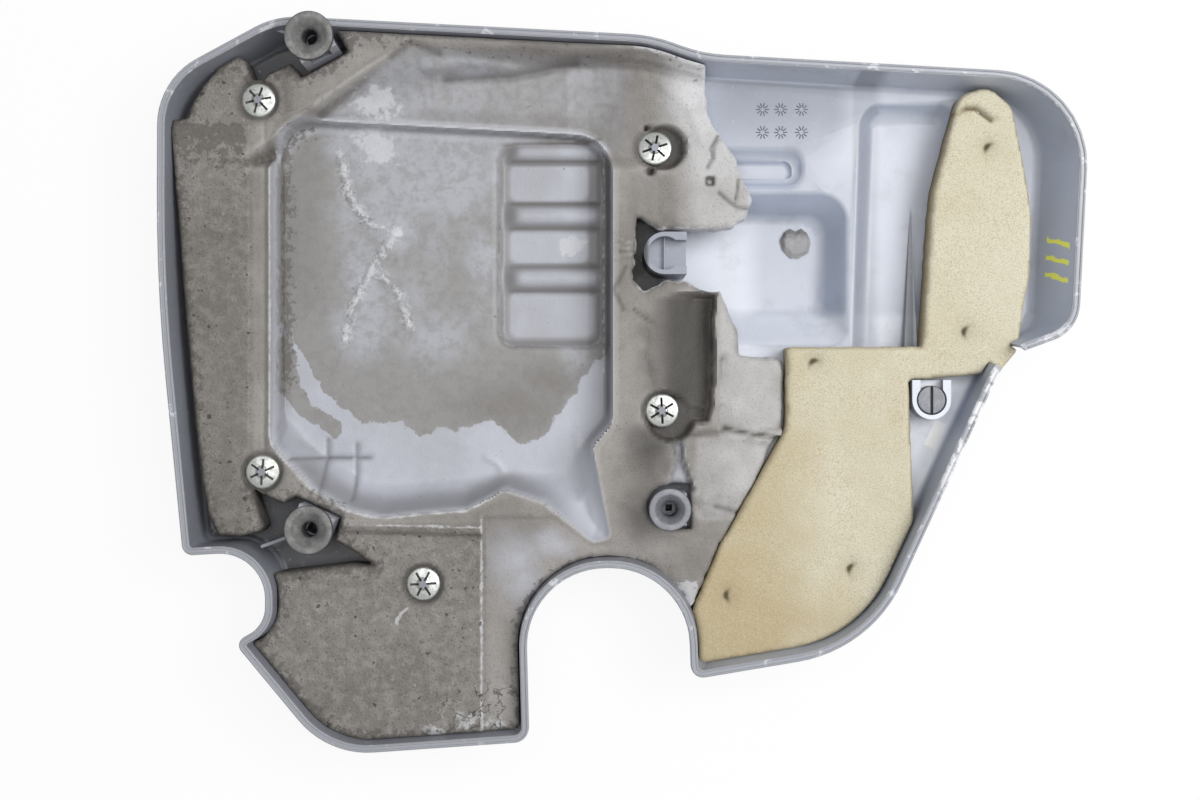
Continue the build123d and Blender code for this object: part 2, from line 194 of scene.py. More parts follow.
def grid_faces(rows, columns, wrap_rows=False, wrap_columns=False):
    """Squares of a grid of points numbered row by row, closed on itself where asked."""
    i = np.arange(rows if wrap_rows else rows - 1)[:, None]
    j = np.arange(columns if wrap_columns else columns - 1)[None, :]
    next_i, next_j = (i + 1) % rows, (j + 1) % columns
    corners = [i * columns + j, next_i * columns + j, next_i * columns + next_j, i * columns + next_j]
    return np.stack([np.broadcast_to(c, (i.size, j.size)).ravel() for c in corners], axis=1)


def piece(name, points, faces, stands_for=None, sharp=40.0, marks=None):
    """Mesh object from arrays in mm, smooth but for edges sharper than that angle, riding on the part."""
    mesh = bpy.data.meshes.new(name)
    mesh.vertices.add(len(points))
    mesh.vertices.foreach_set("co", (np.asarray(points) * MM).astype(np.float32).ravel())
    mesh.loops.add(faces.size)
    mesh.loops.foreach_set("vertex_index", faces.astype(np.int32).ravel())
    mesh.polygons.add(len(faces))
    mesh.polygons.foreach_set("loop_start", np.arange(0, faces.size, faces.shape[1], dtype=np.int32))
    mesh.update(calc_edges=True)
    mesh.validate()
    mesh.shade_smooth()
    mesh.set_sharp_from_angle(angle=radians(sharp))
    for mark, values in (marks or {}).items():
        layer = mesh.attributes.new(mark, "FLOAT", "POINT")
        layer.data.foreach_set("value", np.clip(values, 0, 1).astype(np.float32))
    made = bpy.data.objects.new(name, mesh)
    bpy.context.collection.objects.link(made)
    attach(made, "root")
    if stands_for:
        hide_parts(stands_for)
    print(f"{name}: {len(points)} points, {len(faces)} faces")
    return made


# %% [markdown]
# ## Shader effects that several finishes share
# Dust, mottling and moulded grain turn up on the plastic, the foam and the rubber alike. Each is a node
# group with named sockets, built once and placed in each material with its own values. The groups read
# Object coordinates, so the pattern stays on the piece.

# %% Shader nodes
def group(name, inputs, outputs):
    """Empty shader node group with number inputs (name and default) and outputs."""
    tree = bpy.data.node_groups.new(name, "ShaderNodeTree")
    for label, default in inputs:
        socket = tree.interface.new_socket(label, in_out="INPUT", socket_type="NodeSocketFloat")
        socket.default_value = default
    for label in outputs:
        tree.interface.new_socket(label, in_out="OUTPUT", socket_type="NodeSocketFloat")
    return tree, tree.nodes.new("NodeGroupInput"), tree.nodes.new("NodeGroupOutput")


def math_node(tree, kind, first, second):
    """Math node whose two inputs are sockets or numbers."""
    node = tree.nodes.new("ShaderNodeMath")
    node.operation = kind
    for socket, value in zip(node.inputs, (first, second)):
        if isinstance(value, bpy.types.NodeSocket):
            tree.links.new(value, socket)
        else:
            socket.default_value = value
    return node.outputs[0]


def times(tree, *factors):
    """Product of masks, each a socket or a number, taken from left to right."""
    total = factors[0]
    for factor in factors[1:]:
        total = math_node(tree, "MULTIPLY", total, factor)
    return total


def larger(tree, first, second):
    """The larger of two masks."""
    return math_node(tree, "MAXIMUM", first, second)


def noise_node(tree, scale, detail, rough):
    """Noise texture on Object coordinates; the scale may be a socket."""
    place = tree.nodes.new("ShaderNodeTexCoord")
    node = tree.nodes.new("ShaderNodeTexNoise")
    node.inputs["Detail"].default_value = detail
    node.inputs["Roughness"].default_value = rough
    tree.links.new(place.outputs["Object"], node.inputs["Vector"])
    if isinstance(scale, bpy.types.NodeSocket):
        tree.links.new(scale, node.inputs["Scale"])
    else:
        node.inputs["Scale"].default_value = scale
    return node.outputs["Fac"]


def range_node(tree, value, low, high):
    """Soft step from 0 at low to 1 at high."""
    node = tree.nodes.new("ShaderNodeMapRange")
    node.interpolation_type = "SMOOTHSTEP"
    tree.links.new(value, node.inputs["Value"])
    for label, number in (("From Min", low), ("From Max", high)):
        if isinstance(number, bpy.types.NodeSocket):
            tree.links.new(number, node.inputs[label])
        else:
            node.inputs[label].default_value = number
    return node.outputs["Result"]


print("node helpers ready")

# %% Node groups
mottle, enter, leave = group("dirt_mottle", [("Scale", 40.0), ("Low", 0.42), ("High", 0.62)], ["Mask"])
broad = noise_node(mottle, enter.outputs["Scale"], 6.0, 0.62)
mottle.links.new(range_node(mottle, broad, enter.outputs["Low"], enter.outputs["High"]), leave.inputs["Mask"])

grain, enter, leave = group("moulded_grain", [("Scale", 900.0), ("Broad Scale", 60.0)], ["Height"])
fine = noise_node(grain, enter.outputs["Scale"], 3.0, 0.6)
swell = noise_node(grain, enter.outputs["Broad Scale"], 3.0, 0.5)
grain.links.new(math_node(grain, "ADD", fine, times(grain, swell, 1.5)), leave.inputs["Height"])

speck, enter, leave = group("fine_specks", [("Scale", 500.0), ("Low", 0.6), ("High", 0.7)], ["Mask"])
dots = noise_node(speck, enter.outputs["Scale"], 2.0, 0.5)
speck.links.new(range_node(speck, dots, enter.outputs["Low"], enter.outputs["High"]), leave.inputs["Mask"])

crack, enter, leave = group("fine_cracks", [("Scale", 60.0), ("Width", 0.012)], ["Mask"])
wander = noise_node(crack, enter.outputs["Scale"], 3.0, 0.55)
off = math_node(crack, "ABSOLUTE", math_node(crack, "SUBTRACT", wander, 0.5), 0.0)
near = range_node(crack, off, enter.outputs["Width"], 0.0)
crack.links.new(near, leave.inputs["Mask"])

ticks, enter, leave = group("paint_ticks", [("Pitch", 0.0115), ("Half Width", 0.13)], ["Mask"])
place = ticks.nodes.new("ShaderNodeTexCoord")
at = ticks.nodes.new("ShaderNodeSeparateXYZ")
ticks.links.new(place.outputs["Object"], at.inputs["Vector"])
facing = ticks.nodes.new("ShaderNodeNewGeometry")
turned_to = ticks.nodes.new("ShaderNodeSeparateXYZ")
ticks.links.new(facing.outputs["Normal"], turned_to.inputs["Vector"])
count = math_node(ticks, "DIVIDE", at.outputs["Y"], enter.outputs["Pitch"])
count = math_node(ticks, "ADD", count, times(ticks, at.outputs["Z"], 26.0))
count = math_node(ticks, "ADD", count, times(ticks, noise_node(ticks, 160.0, 2.0, 0.5), 0.35))
step = math_node(ticks, "SUBTRACT", math_node(ticks, "FRACT", count, 0.0), 0.5)
off = math_node(ticks, "ABSOLUTE", step, 0.0)
mask = range_node(ticks, math_node(ticks, "SUBTRACT", off, enter.outputs["Half Width"]), 0.02, 0.0)
for value, low, high in (
    (at.outputs["X"], 0.270, 0.272), (at.outputs["Y"], 0.0640, 0.0648), (at.outputs["Y"], 0.0985, 0.0977),
    (at.outputs["Z"], 0.0370, 0.0382), (at.outputs["Z"], 0.0575, 0.0565),
    (turned_to.outputs["X"], -0.3, -0.6),
):
    mask = times(ticks, mask, range_node(ticks, value, low, high))
ticks.links.new(mask, leave.inputs["Mask"])

# Mask of faces that look up. It lays dust, and the finishes also use it for painted light and painted shade.
upward, enter, leave = group("upward_dust_and_light", [("From", 0.55), ("To", 0.98)], ["Mask"])
facing = upward.nodes.new("ShaderNodeNewGeometry")
split = upward.nodes.new("ShaderNodeSeparateXYZ")
upward.links.new(facing.outputs["Normal"], split.inputs["Vector"])
level = range_node(upward, split.outputs["Z"], enter.outputs["From"], enter.outputs["To"])
upward.links.new(level, leave.inputs["Mask"])
print("node groups:", [tree.name for tree in bpy.data.node_groups])

# %% [markdown]
# ## Helpers for materials
# A finish is built up in layers: a base colour, then one mask after another that mixes in the next colour.
# Only what changes over the surface is wired. What is the same all over is set on the shader itself.

# %% Material helpers
def finish(name, roughness=0.5, metallic=0.0, specular=0.5):
    """New material with its Principled shader; the uniform values sit on the shader's own sockets."""
    material = bpy.data.materials.new(name)
    material.use_nodes = True
    shader = material.node_tree.nodes["Principled BSDF"]
    shader.inputs["Roughness"].default_value = roughness
    shader.inputs["Metallic"].default_value = metallic
    shader.inputs["Specular IOR Level"].default_value = specular
    return material, material.node_tree, shader


def place_group(tree, name, **values):
    """A shared group placed in a material; underscores in the value names stand for spaces."""
    node = tree.nodes.new("ShaderNodeGroup")
    node.node_tree = bpy.data.node_groups[name]
    for label, value in values.items():
        node.inputs[label.replace("_", " ")].default_value = value
    return node.outputs[0]


def mark_node(tree, name):
    """A mark stored on the mesh's points, as a number from 0 to 1."""
    node = tree.nodes.new("ShaderNodeAttribute")
    node.attribute_name = name
    return node.outputs["Fac"]


def layer(tree, below, above, mask):
    """Colour below with the colour above laid over it where the mask is 1."""
    node = tree.nodes.new("ShaderNodeMix")
    node.data_type = "RGBA"
    for socket, colour in ((node.inputs[6], below), (node.inputs[7], above)):
        if isinstance(colour, bpy.types.NodeSocket):
            tree.links.new(colour, socket)
        else:
            socket.default_value = (*colour, 1.0)
    tree.links.new(mask, node.inputs[0])
    return node.outputs[2]


def blend_value(tree, low, high, mask):
    """Number that runs from low to high with the mask."""
    node = tree.nodes.new("ShaderNodeMapRange")
    tree.links.new(mask, node.inputs["Value"])
    node.inputs["To Min"].default_value = low
    node.inputs["To Max"].default_value = high
    return node.outputs["Result"]


def raise_bump(tree, shader, height, strength, distance):
    """Bump node from a height to the shader's Normal."""
    node = tree.nodes.new("ShaderNodeBump")
    node.inputs["Strength"].default_value = strength
    node.inputs["Distance"].default_value = distance
    tree.links.new(height, node.inputs["Height"])
    tree.links.new(node.outputs["Normal"], shader.inputs["Normal"])


print("material helpers ready")

# %% [markdown]
# ## The plastic shell
# The cover is injection moulded in one go, in blue-grey polypropylene with a satin face. The frame already
# has its form, but as loose triangles with knife edges. A copy is merged into one skin and its sharp edges
# get a small bevel, because a moulded edge always has a radius and that is what catches the light.

# %% Rim outline
rim_corners = [
    (-300, 196.5, 49), (-223.5, 238, 55), (19, 225.5, 100), (52, 213.5, 100), (303, 199.5, 61),
    (294.5, 34.5, 26), (247.5, 17.5, 38), (160.5, -171, 90), (44.5, -190.5, 8), (42, -118.5, 51),
    (-63, -118.5, 51), (-60, -230.5, 10), (-190, -239.5, 58), (-250.5, -166.5, 6), (-230.5, -155.5, 20),
    (-230.5, -107.5, 29), (-283.5, -110.5, 7), (-300.5, 64, 1200),
]
rim = rounded(rim_corners)
rim_level = 62.0


def inner_side(points, faces):
    """1 on the shell's inner face, 0 on its outer face: a point's mean normal is set against the way the
    rim's distance grows there, and a point near the rim that looks out over it, or any that looks down, is
    outer."""
    corner = points[faces]
    face_way = np.cross(corner[:, 1] - corner[:, 0], corner[:, 2] - corner[:, 0])
    way = np.zeros_like(points)
    np.add.at(way, faces.ravel(), np.repeat(face_way, 3, axis=0))
    way /= np.maximum(np.linalg.norm(way, axis=1), 1e-9)[:, None]
    x, y = points[:, 0], points[:, 1]
    out_x = plan_distance(rim, x + 0.5, y) - plan_distance(rim, x - 0.5, y)
    out_y = plan_distance(rim, x, y + 0.5) - plan_distance(rim, x, y - 0.5)
    looks_out = (way[:, 0] * out_x + way[:, 1] * out_y) * smooth(-16, -14, plan_distance(rim, x, y))
    return smooth(0.25, -0.05, looks_out) * smooth(-0.6, -0.2, way[:, 2])


print("rim outline points:", len(rim))

# %% Shell skin
def merged_copy(node):
    """Points and triangles of a CAD node in mm, with points that share a place merged into one."""
    mesh = node.data
    points = np.empty(len(mesh.vertices) * 3, np.float32)
    mesh.vertices.foreach_get("co", points)
    corners = np.empty(len(mesh.loops), np.int32)
    mesh.loops.foreach_get("vertex_index", corners)
    keys = np.round(points.reshape(-1, 3) / MM, 3)
    unique, where = np.unique(keys, axis=0, return_inverse=True)
    faces = where.ravel()[corners].reshape(-1, 3)
    whole = (faces[:, 0] != faces[:, 1]) & (faces[:, 1] != faces[:, 2]) & (faces[:, 2] != faces[:, 0])
    return unique, faces[whole]


points, faces = merged_copy(nodes["cover_shell"])
inner = inner_side(points, faces)
shell = piece("shell_skin", points, faces, "cover_shell", sharp=52.0, marks={"inner": inner})
edge = shell.modifiers.new("moulded_edges", "BEVEL")
edge.width = 0.5 * MM
edge.segments = 2
edge.limit_method = "ANGLE"
edge.angle_limit = radians(55)
flat = shell.modifiers.new("flat_floors", "WEIGHTED_NORMAL")
flat.mode = "FACE_AREA"
flat.weight = 90
flat.keep_sharp = True

# %% [markdown]
# ## The shell's finish
# The plastic is satin and blue-grey. Pale dust lies on the wing's floor, which is also painted lighter where
# it looks up, with painted shade near the far wall, painted light on the near floor and painted shade on the
# near wall. The pocket gets painted shadow on its far floor and painted light on its near wall and beside the
# holder. Painted shade darkens the corners under the foam, the trough's side, the floor beside the yellow pad
# and the fin's side, and the wing's far wall gets painted light. The rim's top is lighter all along and
# rubbed light in places. A painter could lay these on an image, but an image would belong to one unwrapping.
# Here each is a soft mask made from place, facing and noise, and one tone is laid over another.

# %% Shell masks
def place_node(tree, axis):
    """One Object coordinate, in metres."""
    place = tree.nodes.new("ShaderNodeTexCoord")
    parts = tree.nodes.new("ShaderNodeSeparateXYZ")
    tree.links.new(place.outputs["Object"], parts.inputs["Vector"])
    return parts.outputs[axis]


def ramp(tree, axis, low, high):
    """Soft step along one Object coordinate, from 0 at low to 1 at high."""
    return range_node(tree, place_node(tree, axis), low, high)


plastic, tree, shader = finish("satin_plastic", specular=0.6)
inner_mark = mark_node(tree, "inner")
facing = place_group(tree, "upward_dust_and_light", From=0.55, To=1.0)
upper = times(tree, ramp(tree, "X", 0.0155, 0.0185), ramp(tree, "Y", 0.055, 0.065))
wing = larger(tree, ramp(tree, "X", 0.035, 0.075), times(tree, upper, 0.18))
wing = times(tree, wing, inner_mark)
# Pale dust on the wing's floors that look up; it also paints them lighter, as if the light falls on them.
dust_and_light = times(tree, facing, wing, ramp(tree, "Z", 0.058, 0.045))
# Near part of the wing: painted light on its floor, which lies in the rim's shadow, and painted shade on its
# wall.
near_light_and_shade = times(tree, wing, ramp(tree, "Y", 0.030, 0.005))
# Painted light on the wing's far wall.
far_wall_painted_light = times(tree, wing, ramp(tree, "Y", 0.186, 0.202))
# Painted shade on the floor near the far wall, darker towards it.
far = times(tree, ramp(tree, "Y", 0.135, 0.190), ramp(tree, "X", 0.165, 0.140))
# Painted shadow of the foam flap on the pocket's far floor.
pocket = times(tree, ramp(tree, "Z", 0.020, 0.006), wing, ramp(tree, "Y", 0.088, 0.128))
# Painted light: the pocket's near wall and its floor beside the holder are made pale.
pocket_near = times(tree, ramp(tree, "Z", 0.0262, 0.0250), wing, ramp(tree, "Y", 0.051, 0.043))
pocket_left = times(
    tree, ramp(tree, "X", 0.036, 0.042), ramp(tree, "X", 0.100, 0.080),
    ramp(tree, "Z", 0.0275, 0.0262), ramp(tree, "Y", 0.118, 0.108),
)
pocket_lit = times(tree, larger(tree, pocket_near, pocket_left), inner_mark)
print("shell masks:", len(tree.nodes), "nodes")

# %% Shell shade
# Painted shade, nearly black: gloom, deep and under mark floors under and beside the foam where little light
# reaches.
gloom = times(
    tree, ramp(tree, "X", 0.0185, 0.0155), ramp(tree, "X", -0.02, 0.0),
    ramp(tree, "Y", 0.045, 0.055), ramp(tree, "Y", 0.125, 0.115),
)
deep = times(tree, ramp(tree, "X", 0.060, 0.050), ramp(tree, "Y", 0.0, -0.02))
deep = larger(tree, deep, ramp(tree, "X", 0.032, 0.026))
deep = times(tree, deep, facing, ramp(tree, "Z", 0.036, 0.030))
under = times(
    tree, ramp(tree, "X", 0.032, 0.026), ramp(tree, "X", 0.0, 0.005), ramp(tree, "Y", 0.0785, 0.0735),
    ramp(tree, "Y", 0.052, 0.057), ramp(tree, "Z", 0.040, 0.034),
)
unlit = larger(tree, times(tree, deep, 0.9), larger(tree, gloom, under))
# Painted shade on the trough's side and on the floor beside the yellow pad.
trough_side_shade = times(tree, ramp(tree, "X", 0.152, 0.156), ramp(tree, "X", 0.176, 0.166))
beside_pad_shade = times(tree, ramp(tree, "X", 0.256, 0.266), blend_value(tree, 0.0, 0.9, facing))
shaded = times(tree, larger(tree, trough_side_shade, beside_pad_shade), ramp(tree, "Y", 0.020, 0.030))
# Painted shade on the fin's side.
lean = times(tree, math_node(tree, "SUBTRACT", 0.118, place_node(tree, "Y")), 0.066)
slant = math_node(tree, "SUBTRACT", math_node(tree, "ADD", place_node(tree, "X"), lean), 0.1935)
fin_shade = times(
    tree, range_node(tree, slant, 0.0, 0.0008), ramp(tree, "X", 0.1955, 0.1945),
    ramp(tree, "Y", 0.120, 0.112), ramp(tree, "Y", 0.018, 0.026),
)
print("shell shade:", len(tree.nodes), "nodes")

# %% Shell wear and tones
film = place_group(tree, "dirt_mottle", Scale=9.0, Low=0.3, High=0.75)
smear = place_group(tree, "dirt_mottle", Scale=48.0, Low=0.50, High=0.75)
scuff = place_group(tree, "fine_specks", Scale=260.0, Low=0.66, High=0.74)
scratch = place_group(tree, "fine_cracks", Scale=26.0, Width=0.004)
rim_top = ramp(tree, "Z", 0.0605, 0.0618)
rubbed = times(
    tree, ramp(tree, "X", 0.195, 0.215), ramp(tree, "Y", 0.020, 0.005), ramp(tree, "Z", 0.0585, 0.0610),
    place_group(tree, "dirt_mottle", Scale=120.0, Low=0.46, High=0.54),
)
chipped = times(tree, rim_top, place_group(tree, "dirt_mottle", Scale=75.0, Low=0.60, High=0.66))
painted = place_group(tree, "paint_ticks", Pitch=0.0115, Half_Width=0.13)
# Floor tone: dust, with painted shade near the far wall and painted light on the near floor.
floor_dust_light_and_shade = layer(tree, (0.545, 0.575, 0.65), (0.275, 0.298, 0.348), far)
floor_dust_light_and_shade = layer(tree, floor_dust_light_and_shade, (0.82, 0.85, 0.92), near_light_and_shade)
colour = layer(tree, (0.235, 0.245, 0.280), (0.445, 0.50, 0.625), wing)
# Tones in order: painted shade on the near wall, painted light on the far wall, dust and painted light on the
# floors, painted shadow in the pocket, painted light on its near wall, painted shade on the trough and beside
# the pad, painted shade on the fin, dirt film and smear, painted shade under the foam, the lighter rim top,
# scuffs, scratches, rubbed and chipped wear, and yellow paint ticks.
for tone, mask in (
    ((0.255, 0.275, 0.320), times(tree, near_light_and_shade, 0.2)),
    ((0.70, 0.74, 0.84), times(tree, far_wall_painted_light, 0.75)),
    (floor_dust_light_and_shade, dust_and_light),
    ((0.36, 0.39, 0.45), times(tree, pocket, 0.45)),
    ((0.80, 0.83, 0.90), times(tree, pocket_lit, 0.75)),
    ((0.29, 0.312, 0.365), times(tree, shaded, inner_mark, 0.75)),
    ((0.12, 0.128, 0.150), times(tree, fin_shade, inner_mark, 0.7)),
    ((0.29, 0.315, 0.37), times(tree, film, 0.24)),
    ((0.19, 0.20, 0.225), times(tree, smear, 0.22)),
    ((0.018, 0.018, 0.020), times(tree, unlit, inner_mark, 0.97)),
    ((0.36, 0.372, 0.405), times(tree, rim_top, 0.8)),
    ((0.55, 0.56, 0.58), times(tree, scuff, 0.30)),
    ((0.48, 0.49, 0.52), times(tree, scratch, 0.18)),
    ((0.82, 0.83, 0.85), times(tree, rubbed, 0.8)),
    ((0.74, 0.76, 0.80), times(tree, chipped, 0.6)),
    ((0.86, 0.90, 0.15), painted),
):
    colour = layer(tree, colour, tone, mask)
tree.links.new(colour, shader.inputs["Base Color"])
tree.links.new(blend_value(tree, 0.28, 0.46, film), shader.inputs["Roughness"])
raise_bump(tree, shader, place_group(tree, "moulded_grain", Scale=1500.0, Broad_Scale=40.0), 0.08, 0.0004)
shell.data.materials.append(plastic)
print("shell finish:", plastic.name)

# %% [markdown]
# ## Mould clocks
# Six small sunbursts stand on the wing's floor, where date inserts sit in the mould. They could be a bump
# texture, but real ridges catch the light on one side, so each ray is a low roof and the six bursts are one
# array of roofs.

# %% Mould clocks
clock_x, clock_y = np.meshgrid([93.9, 106.0, 119.8], [183.5, 168.2])
ray = np.arange(10) * 2 * np.pi / 10
burst = np.array([
    (1.5, -0.45, 0.0), (1.5, 0.45, 0.0), (4.4, 0.45, 0.0), (4.4, -0.45, 0.0),
    (1.7, 0.0, 0.75), (4.2, 0.0, 0.75),
])
ray_x = burst[None, :, 0] * np.cos(ray)[:, None] - burst[None, :, 1] * np.sin(ray)[:, None]
ray_y = burst[None, :, 0] * np.sin(ray)[:, None] + burst[None, :, 1] * np.cos(ray)[:, None]
ray_z = np.broadcast_to(burst[None, :, 2] + 26.95, ray_x.shape)
plan = np.stack([ray_x, ray_y, ray_z], axis=2).reshape(1, -1, 3)
offset = np.stack([clock_x.ravel(), clock_y.ravel(), np.zeros(6)], axis=1)[:, None, :]
clock_points = (plan + offset).reshape(-1, 3)
sides = np.array([(0, 4, 5, 3), (1, 2, 5, 4), (0, 3, 2, 1)])
ends = np.array([(0, 1, 4), (3, 5, 2)])
base = (np.arange(60) * 6)[:, None, None]
corner_sets = np.concatenate([sides[:, [0, 1, 2]], sides[:, [0, 2, 3]], ends])
clock_faces = (base + corner_sets[None, :, ::-1]).reshape(-1, 3)
clocks = piece("mould_clocks", clock_points, clock_faces, sharp=20.0)
clocks.data.materials.append(plastic)

# %% [markdown]
# ## The rim bead
# A fine bead runs along the top of the rim, where the mould's halves met. It could be modelled by bevelling
# a loop of edges, but a small round profile carried along the rim's own outline follows every corner by
# itself.

# %% Rim bead
def bead(path, inset, width, height, level):
    """Profile carried along a path: the path moves in along its own normal, and a half ellipse of that
    width and height stands across it."""
    way = np.roll(path, -1, axis=0) - np.roll(path, 1, axis=0)
    way /= np.linalg.norm(way, axis=1)[:, None]
    inward = np.stack([way[:, 1], -way[:, 0]], axis=1)
    turn = np.linspace(0, np.pi, 7)
    across = inset - np.cos(turn) * width / 2
    rise = level - 0.1 + np.sin(turn) * height
    plan = path[:, None, :] + inward[:, None, :] * across[None, :, None]
    heights = np.broadcast_to(rise[None, :], plan.shape[:2])
    return np.concatenate([plan, heights[:, :, None]], axis=2)


gap_centre = (248.0, 20.0)
away = np.hypot(rim[:, 0] - gap_centre[0], rim[:, 1] - gap_centre[1])
first = int(np.argmin(away))
path = np.roll(rim, -first, axis=0)
path = path[np.hypot(path[:, 0] - gap_centre[0], path[:, 1] - gap_centre[1]) > 12.5]
sweeps = []
sweep_faces = []
for inset, width, height in ((1.0, 1.5, 0.9), (3.9, 1.2, 0.7)):
    strip = bead(path, inset, width, height, rim_level)
    sweep_faces.append(grid_faces(*strip.shape[:2]) + sum(len(s) for s in sweeps))
    sweeps.append(strip.reshape(-1, 3))
beads = piece("rim_bead", np.concatenate(sweeps), np.concatenate(sweep_faces)[:, ::-1])
beads.data.materials.append(plastic)

# %% [markdown]
# ## The grey moulded foam
# This sheet of foam was pressed hot into the shell: flat lands, a deep smooth recess with four cells, folds
# near the rim and a torn right edge. Cloth simulation suits a cushion, but this foam is stiff and keeps its
# moulded form, so its top is a height worked out at each point of the plan, one feature laid over the
# other.

# %% Foam plan
front_outline = [
    (-303, 171), (-284, 174), (-281, 183), (-273, 196.5), (-262.5, 207), (-250.5, 214), (-245, 211.5),
    (-241, 199), (-234, 199), (-230.5, 203.5), (-216, 210), (-209, 200.5), (-179, 217), (-186, 231),
    (-186, 250), (54, 250), (54, 213), (56, 177.5), (74.5, 148), (85.5, 121.5), (81, 108.5), (70, 102),
    (24, 102.5), (10, 110), (7.3, 69), (14, 61), (29, 69), (42, 67.7), (56, 61), (64, 61), (72.5, 42),
    (76.5, 33), (77, 19), (106, 17.5), (105, -33), (99.8, -34.5), (80, -82.5), (63.5, -105.5),
    (53.5, -128.5), (43, -150), (-10, -150), (-58, -250), (-275, -250), (-262, -166), (-240, -130),
    (-224, -122.5), (-178, -117), (-161, -118), (-176, -108.5), (-187, -101.5), (-183.5, -86.5),
    (-212.6, -73), (-221, -77.5), (-228, -74.5), (-241, -68), (-239, -75), (-233, -92.5), (-236, -96),
    (-249, -99), (-263.5, -98), (-269.5, -85.5), (-273.5, -66.5), (-278.5, -23), (-286.5, 68), (-293, 160),
]
sheet_corners = [
    (107.5, 24.5, 2), (196.5, 25, 1), (203.5, 125, 120), (221, 189, 12), (240, 196, 14), (256, 182, 20),
    (268, 118, 80), (267.5, 75, 80), (258.5, 22, 1), (247.5, 8.5, 4), (188, 2.5, 1), (192, -114, 5),
    (171, -163, 30), (140, -175, 50), (46, -186, 6), (45, -151, 20), (64.5, -105, 60), (107.5, -29.5, 20),
]
sheet_line = rounded(sheet_corners, 6)
socket_room = (30.0, 45.6, -95.0, -65.0)
foam_inset = 6.6


def foam_plan(x, y):
    """Torn outline within the rim: the largest of the outline's distance, roughened where it is torn, the
    rim's distance drawn in by the wall, and the other sheet's and the socket hole's distance turned inside
    out."""
    torn = smooth(-20, 30, x) + smooth(24, 4, np.hypot(x + 178, y + 100))
    d = plan_distance(front_outline, x, y) + torn * (0.5 * lumps(x, y, 3.1, 4) + 0.6 * lumps(x, y, 7.0, 5))
    d = d + 1.4 * smooth(32, 18, np.hypot(x - 12, y - 86)) * lumps(x, y, 4.6, 8)
    d = np.maximum(d, plan_distance(rim, x, y) + foam_inset)
    d = np.maximum(d, 0.5 - plan_distance(sheet_line, x, y))
    hole = np.minimum(np.hypot(x - 30.3, y + 80.0) - 14.0, box_distance(socket_room, 1.0, x, y))
    return np.maximum(d, -hole - 0.3 * lumps(x, y, 3.0, 6))


print("foam outline points:", len(front_outline))

# %% Recess, bars and nuts of the foam
recess_top = rounded([
    (-228.5, 176.3, 26), (-6.6, 164.8, 26), (-6.6, -25, 14), (-20, -40, 10), (-13, -75, 10), (-8, -100, 3),
    (-19, -102, 4), (-35, -89, 10), (-51, -76.5, 12), (-77, -68, 8), (-86, -73, 8), (-102, -81, 12),
    (-128, -83, 20), (-157, -86, 20), (-179, -81, 20), (-202, -67, 18), (-218, -50, 16), (-228.5, -39, 16),
])
recess_floor = rounded([
    (-226.0, 174.4, 25), (-12.5, 163.2, 24), (-12.5, -22, 14), (-40, -56, 14), (-80, -58, 20),
    (-165, -64, 25), (-206, -44, 18), (-226.0, -28, 16),
])
crown = rounded([
    (-239.5, 146.5, 20), (-211, 182, 20), (-21, 175, 20), (3, 146.5, 20), (3, -40, 20), (-35, -86, 20),
    (-183, -86, 20), (-239.5, -16.5, 20),
])
cells = [(-76.0, -21.5, 123.5, 149.5), (-76.0, -21.5, 81.5, 105.5), (-76.0, -18.0, 31.5, 63.5)]
cell_block = (-84.5, -11.0, 24.0, 163.0)
bars = [(72.0, 9.5), (114.0, 9.5), (156.0, 7.0)]
slot_down, slot_half, slot_middle = [38.0, 49.0, 69.0], [4.0, 2.6, 9.0], [36.8, 38.0, 38.6]
square_hole = (54.8, 60.6, 130.8, 136.4)
recess_level = 16.0
nut_places = [
    (-237.4, 185.7, 48.0), (-234.8, -57.0, 48.0), (-129.8, -130.0, 48.0), (21.8, 156.0, 38.0),
    (26.4, -17.0, 38.0),
]
wells = [(27.6, 156.0, 13.8, 33.5), (32.0, -22.0, 14.5, 33.5)]
sunk_line = [(17.1, 60.8), (61.7, 59.5), (61.7, 0.5), (57.1, -24.4), (44.6, -26.4), (25, -6.7), (15.1, 22.8)]
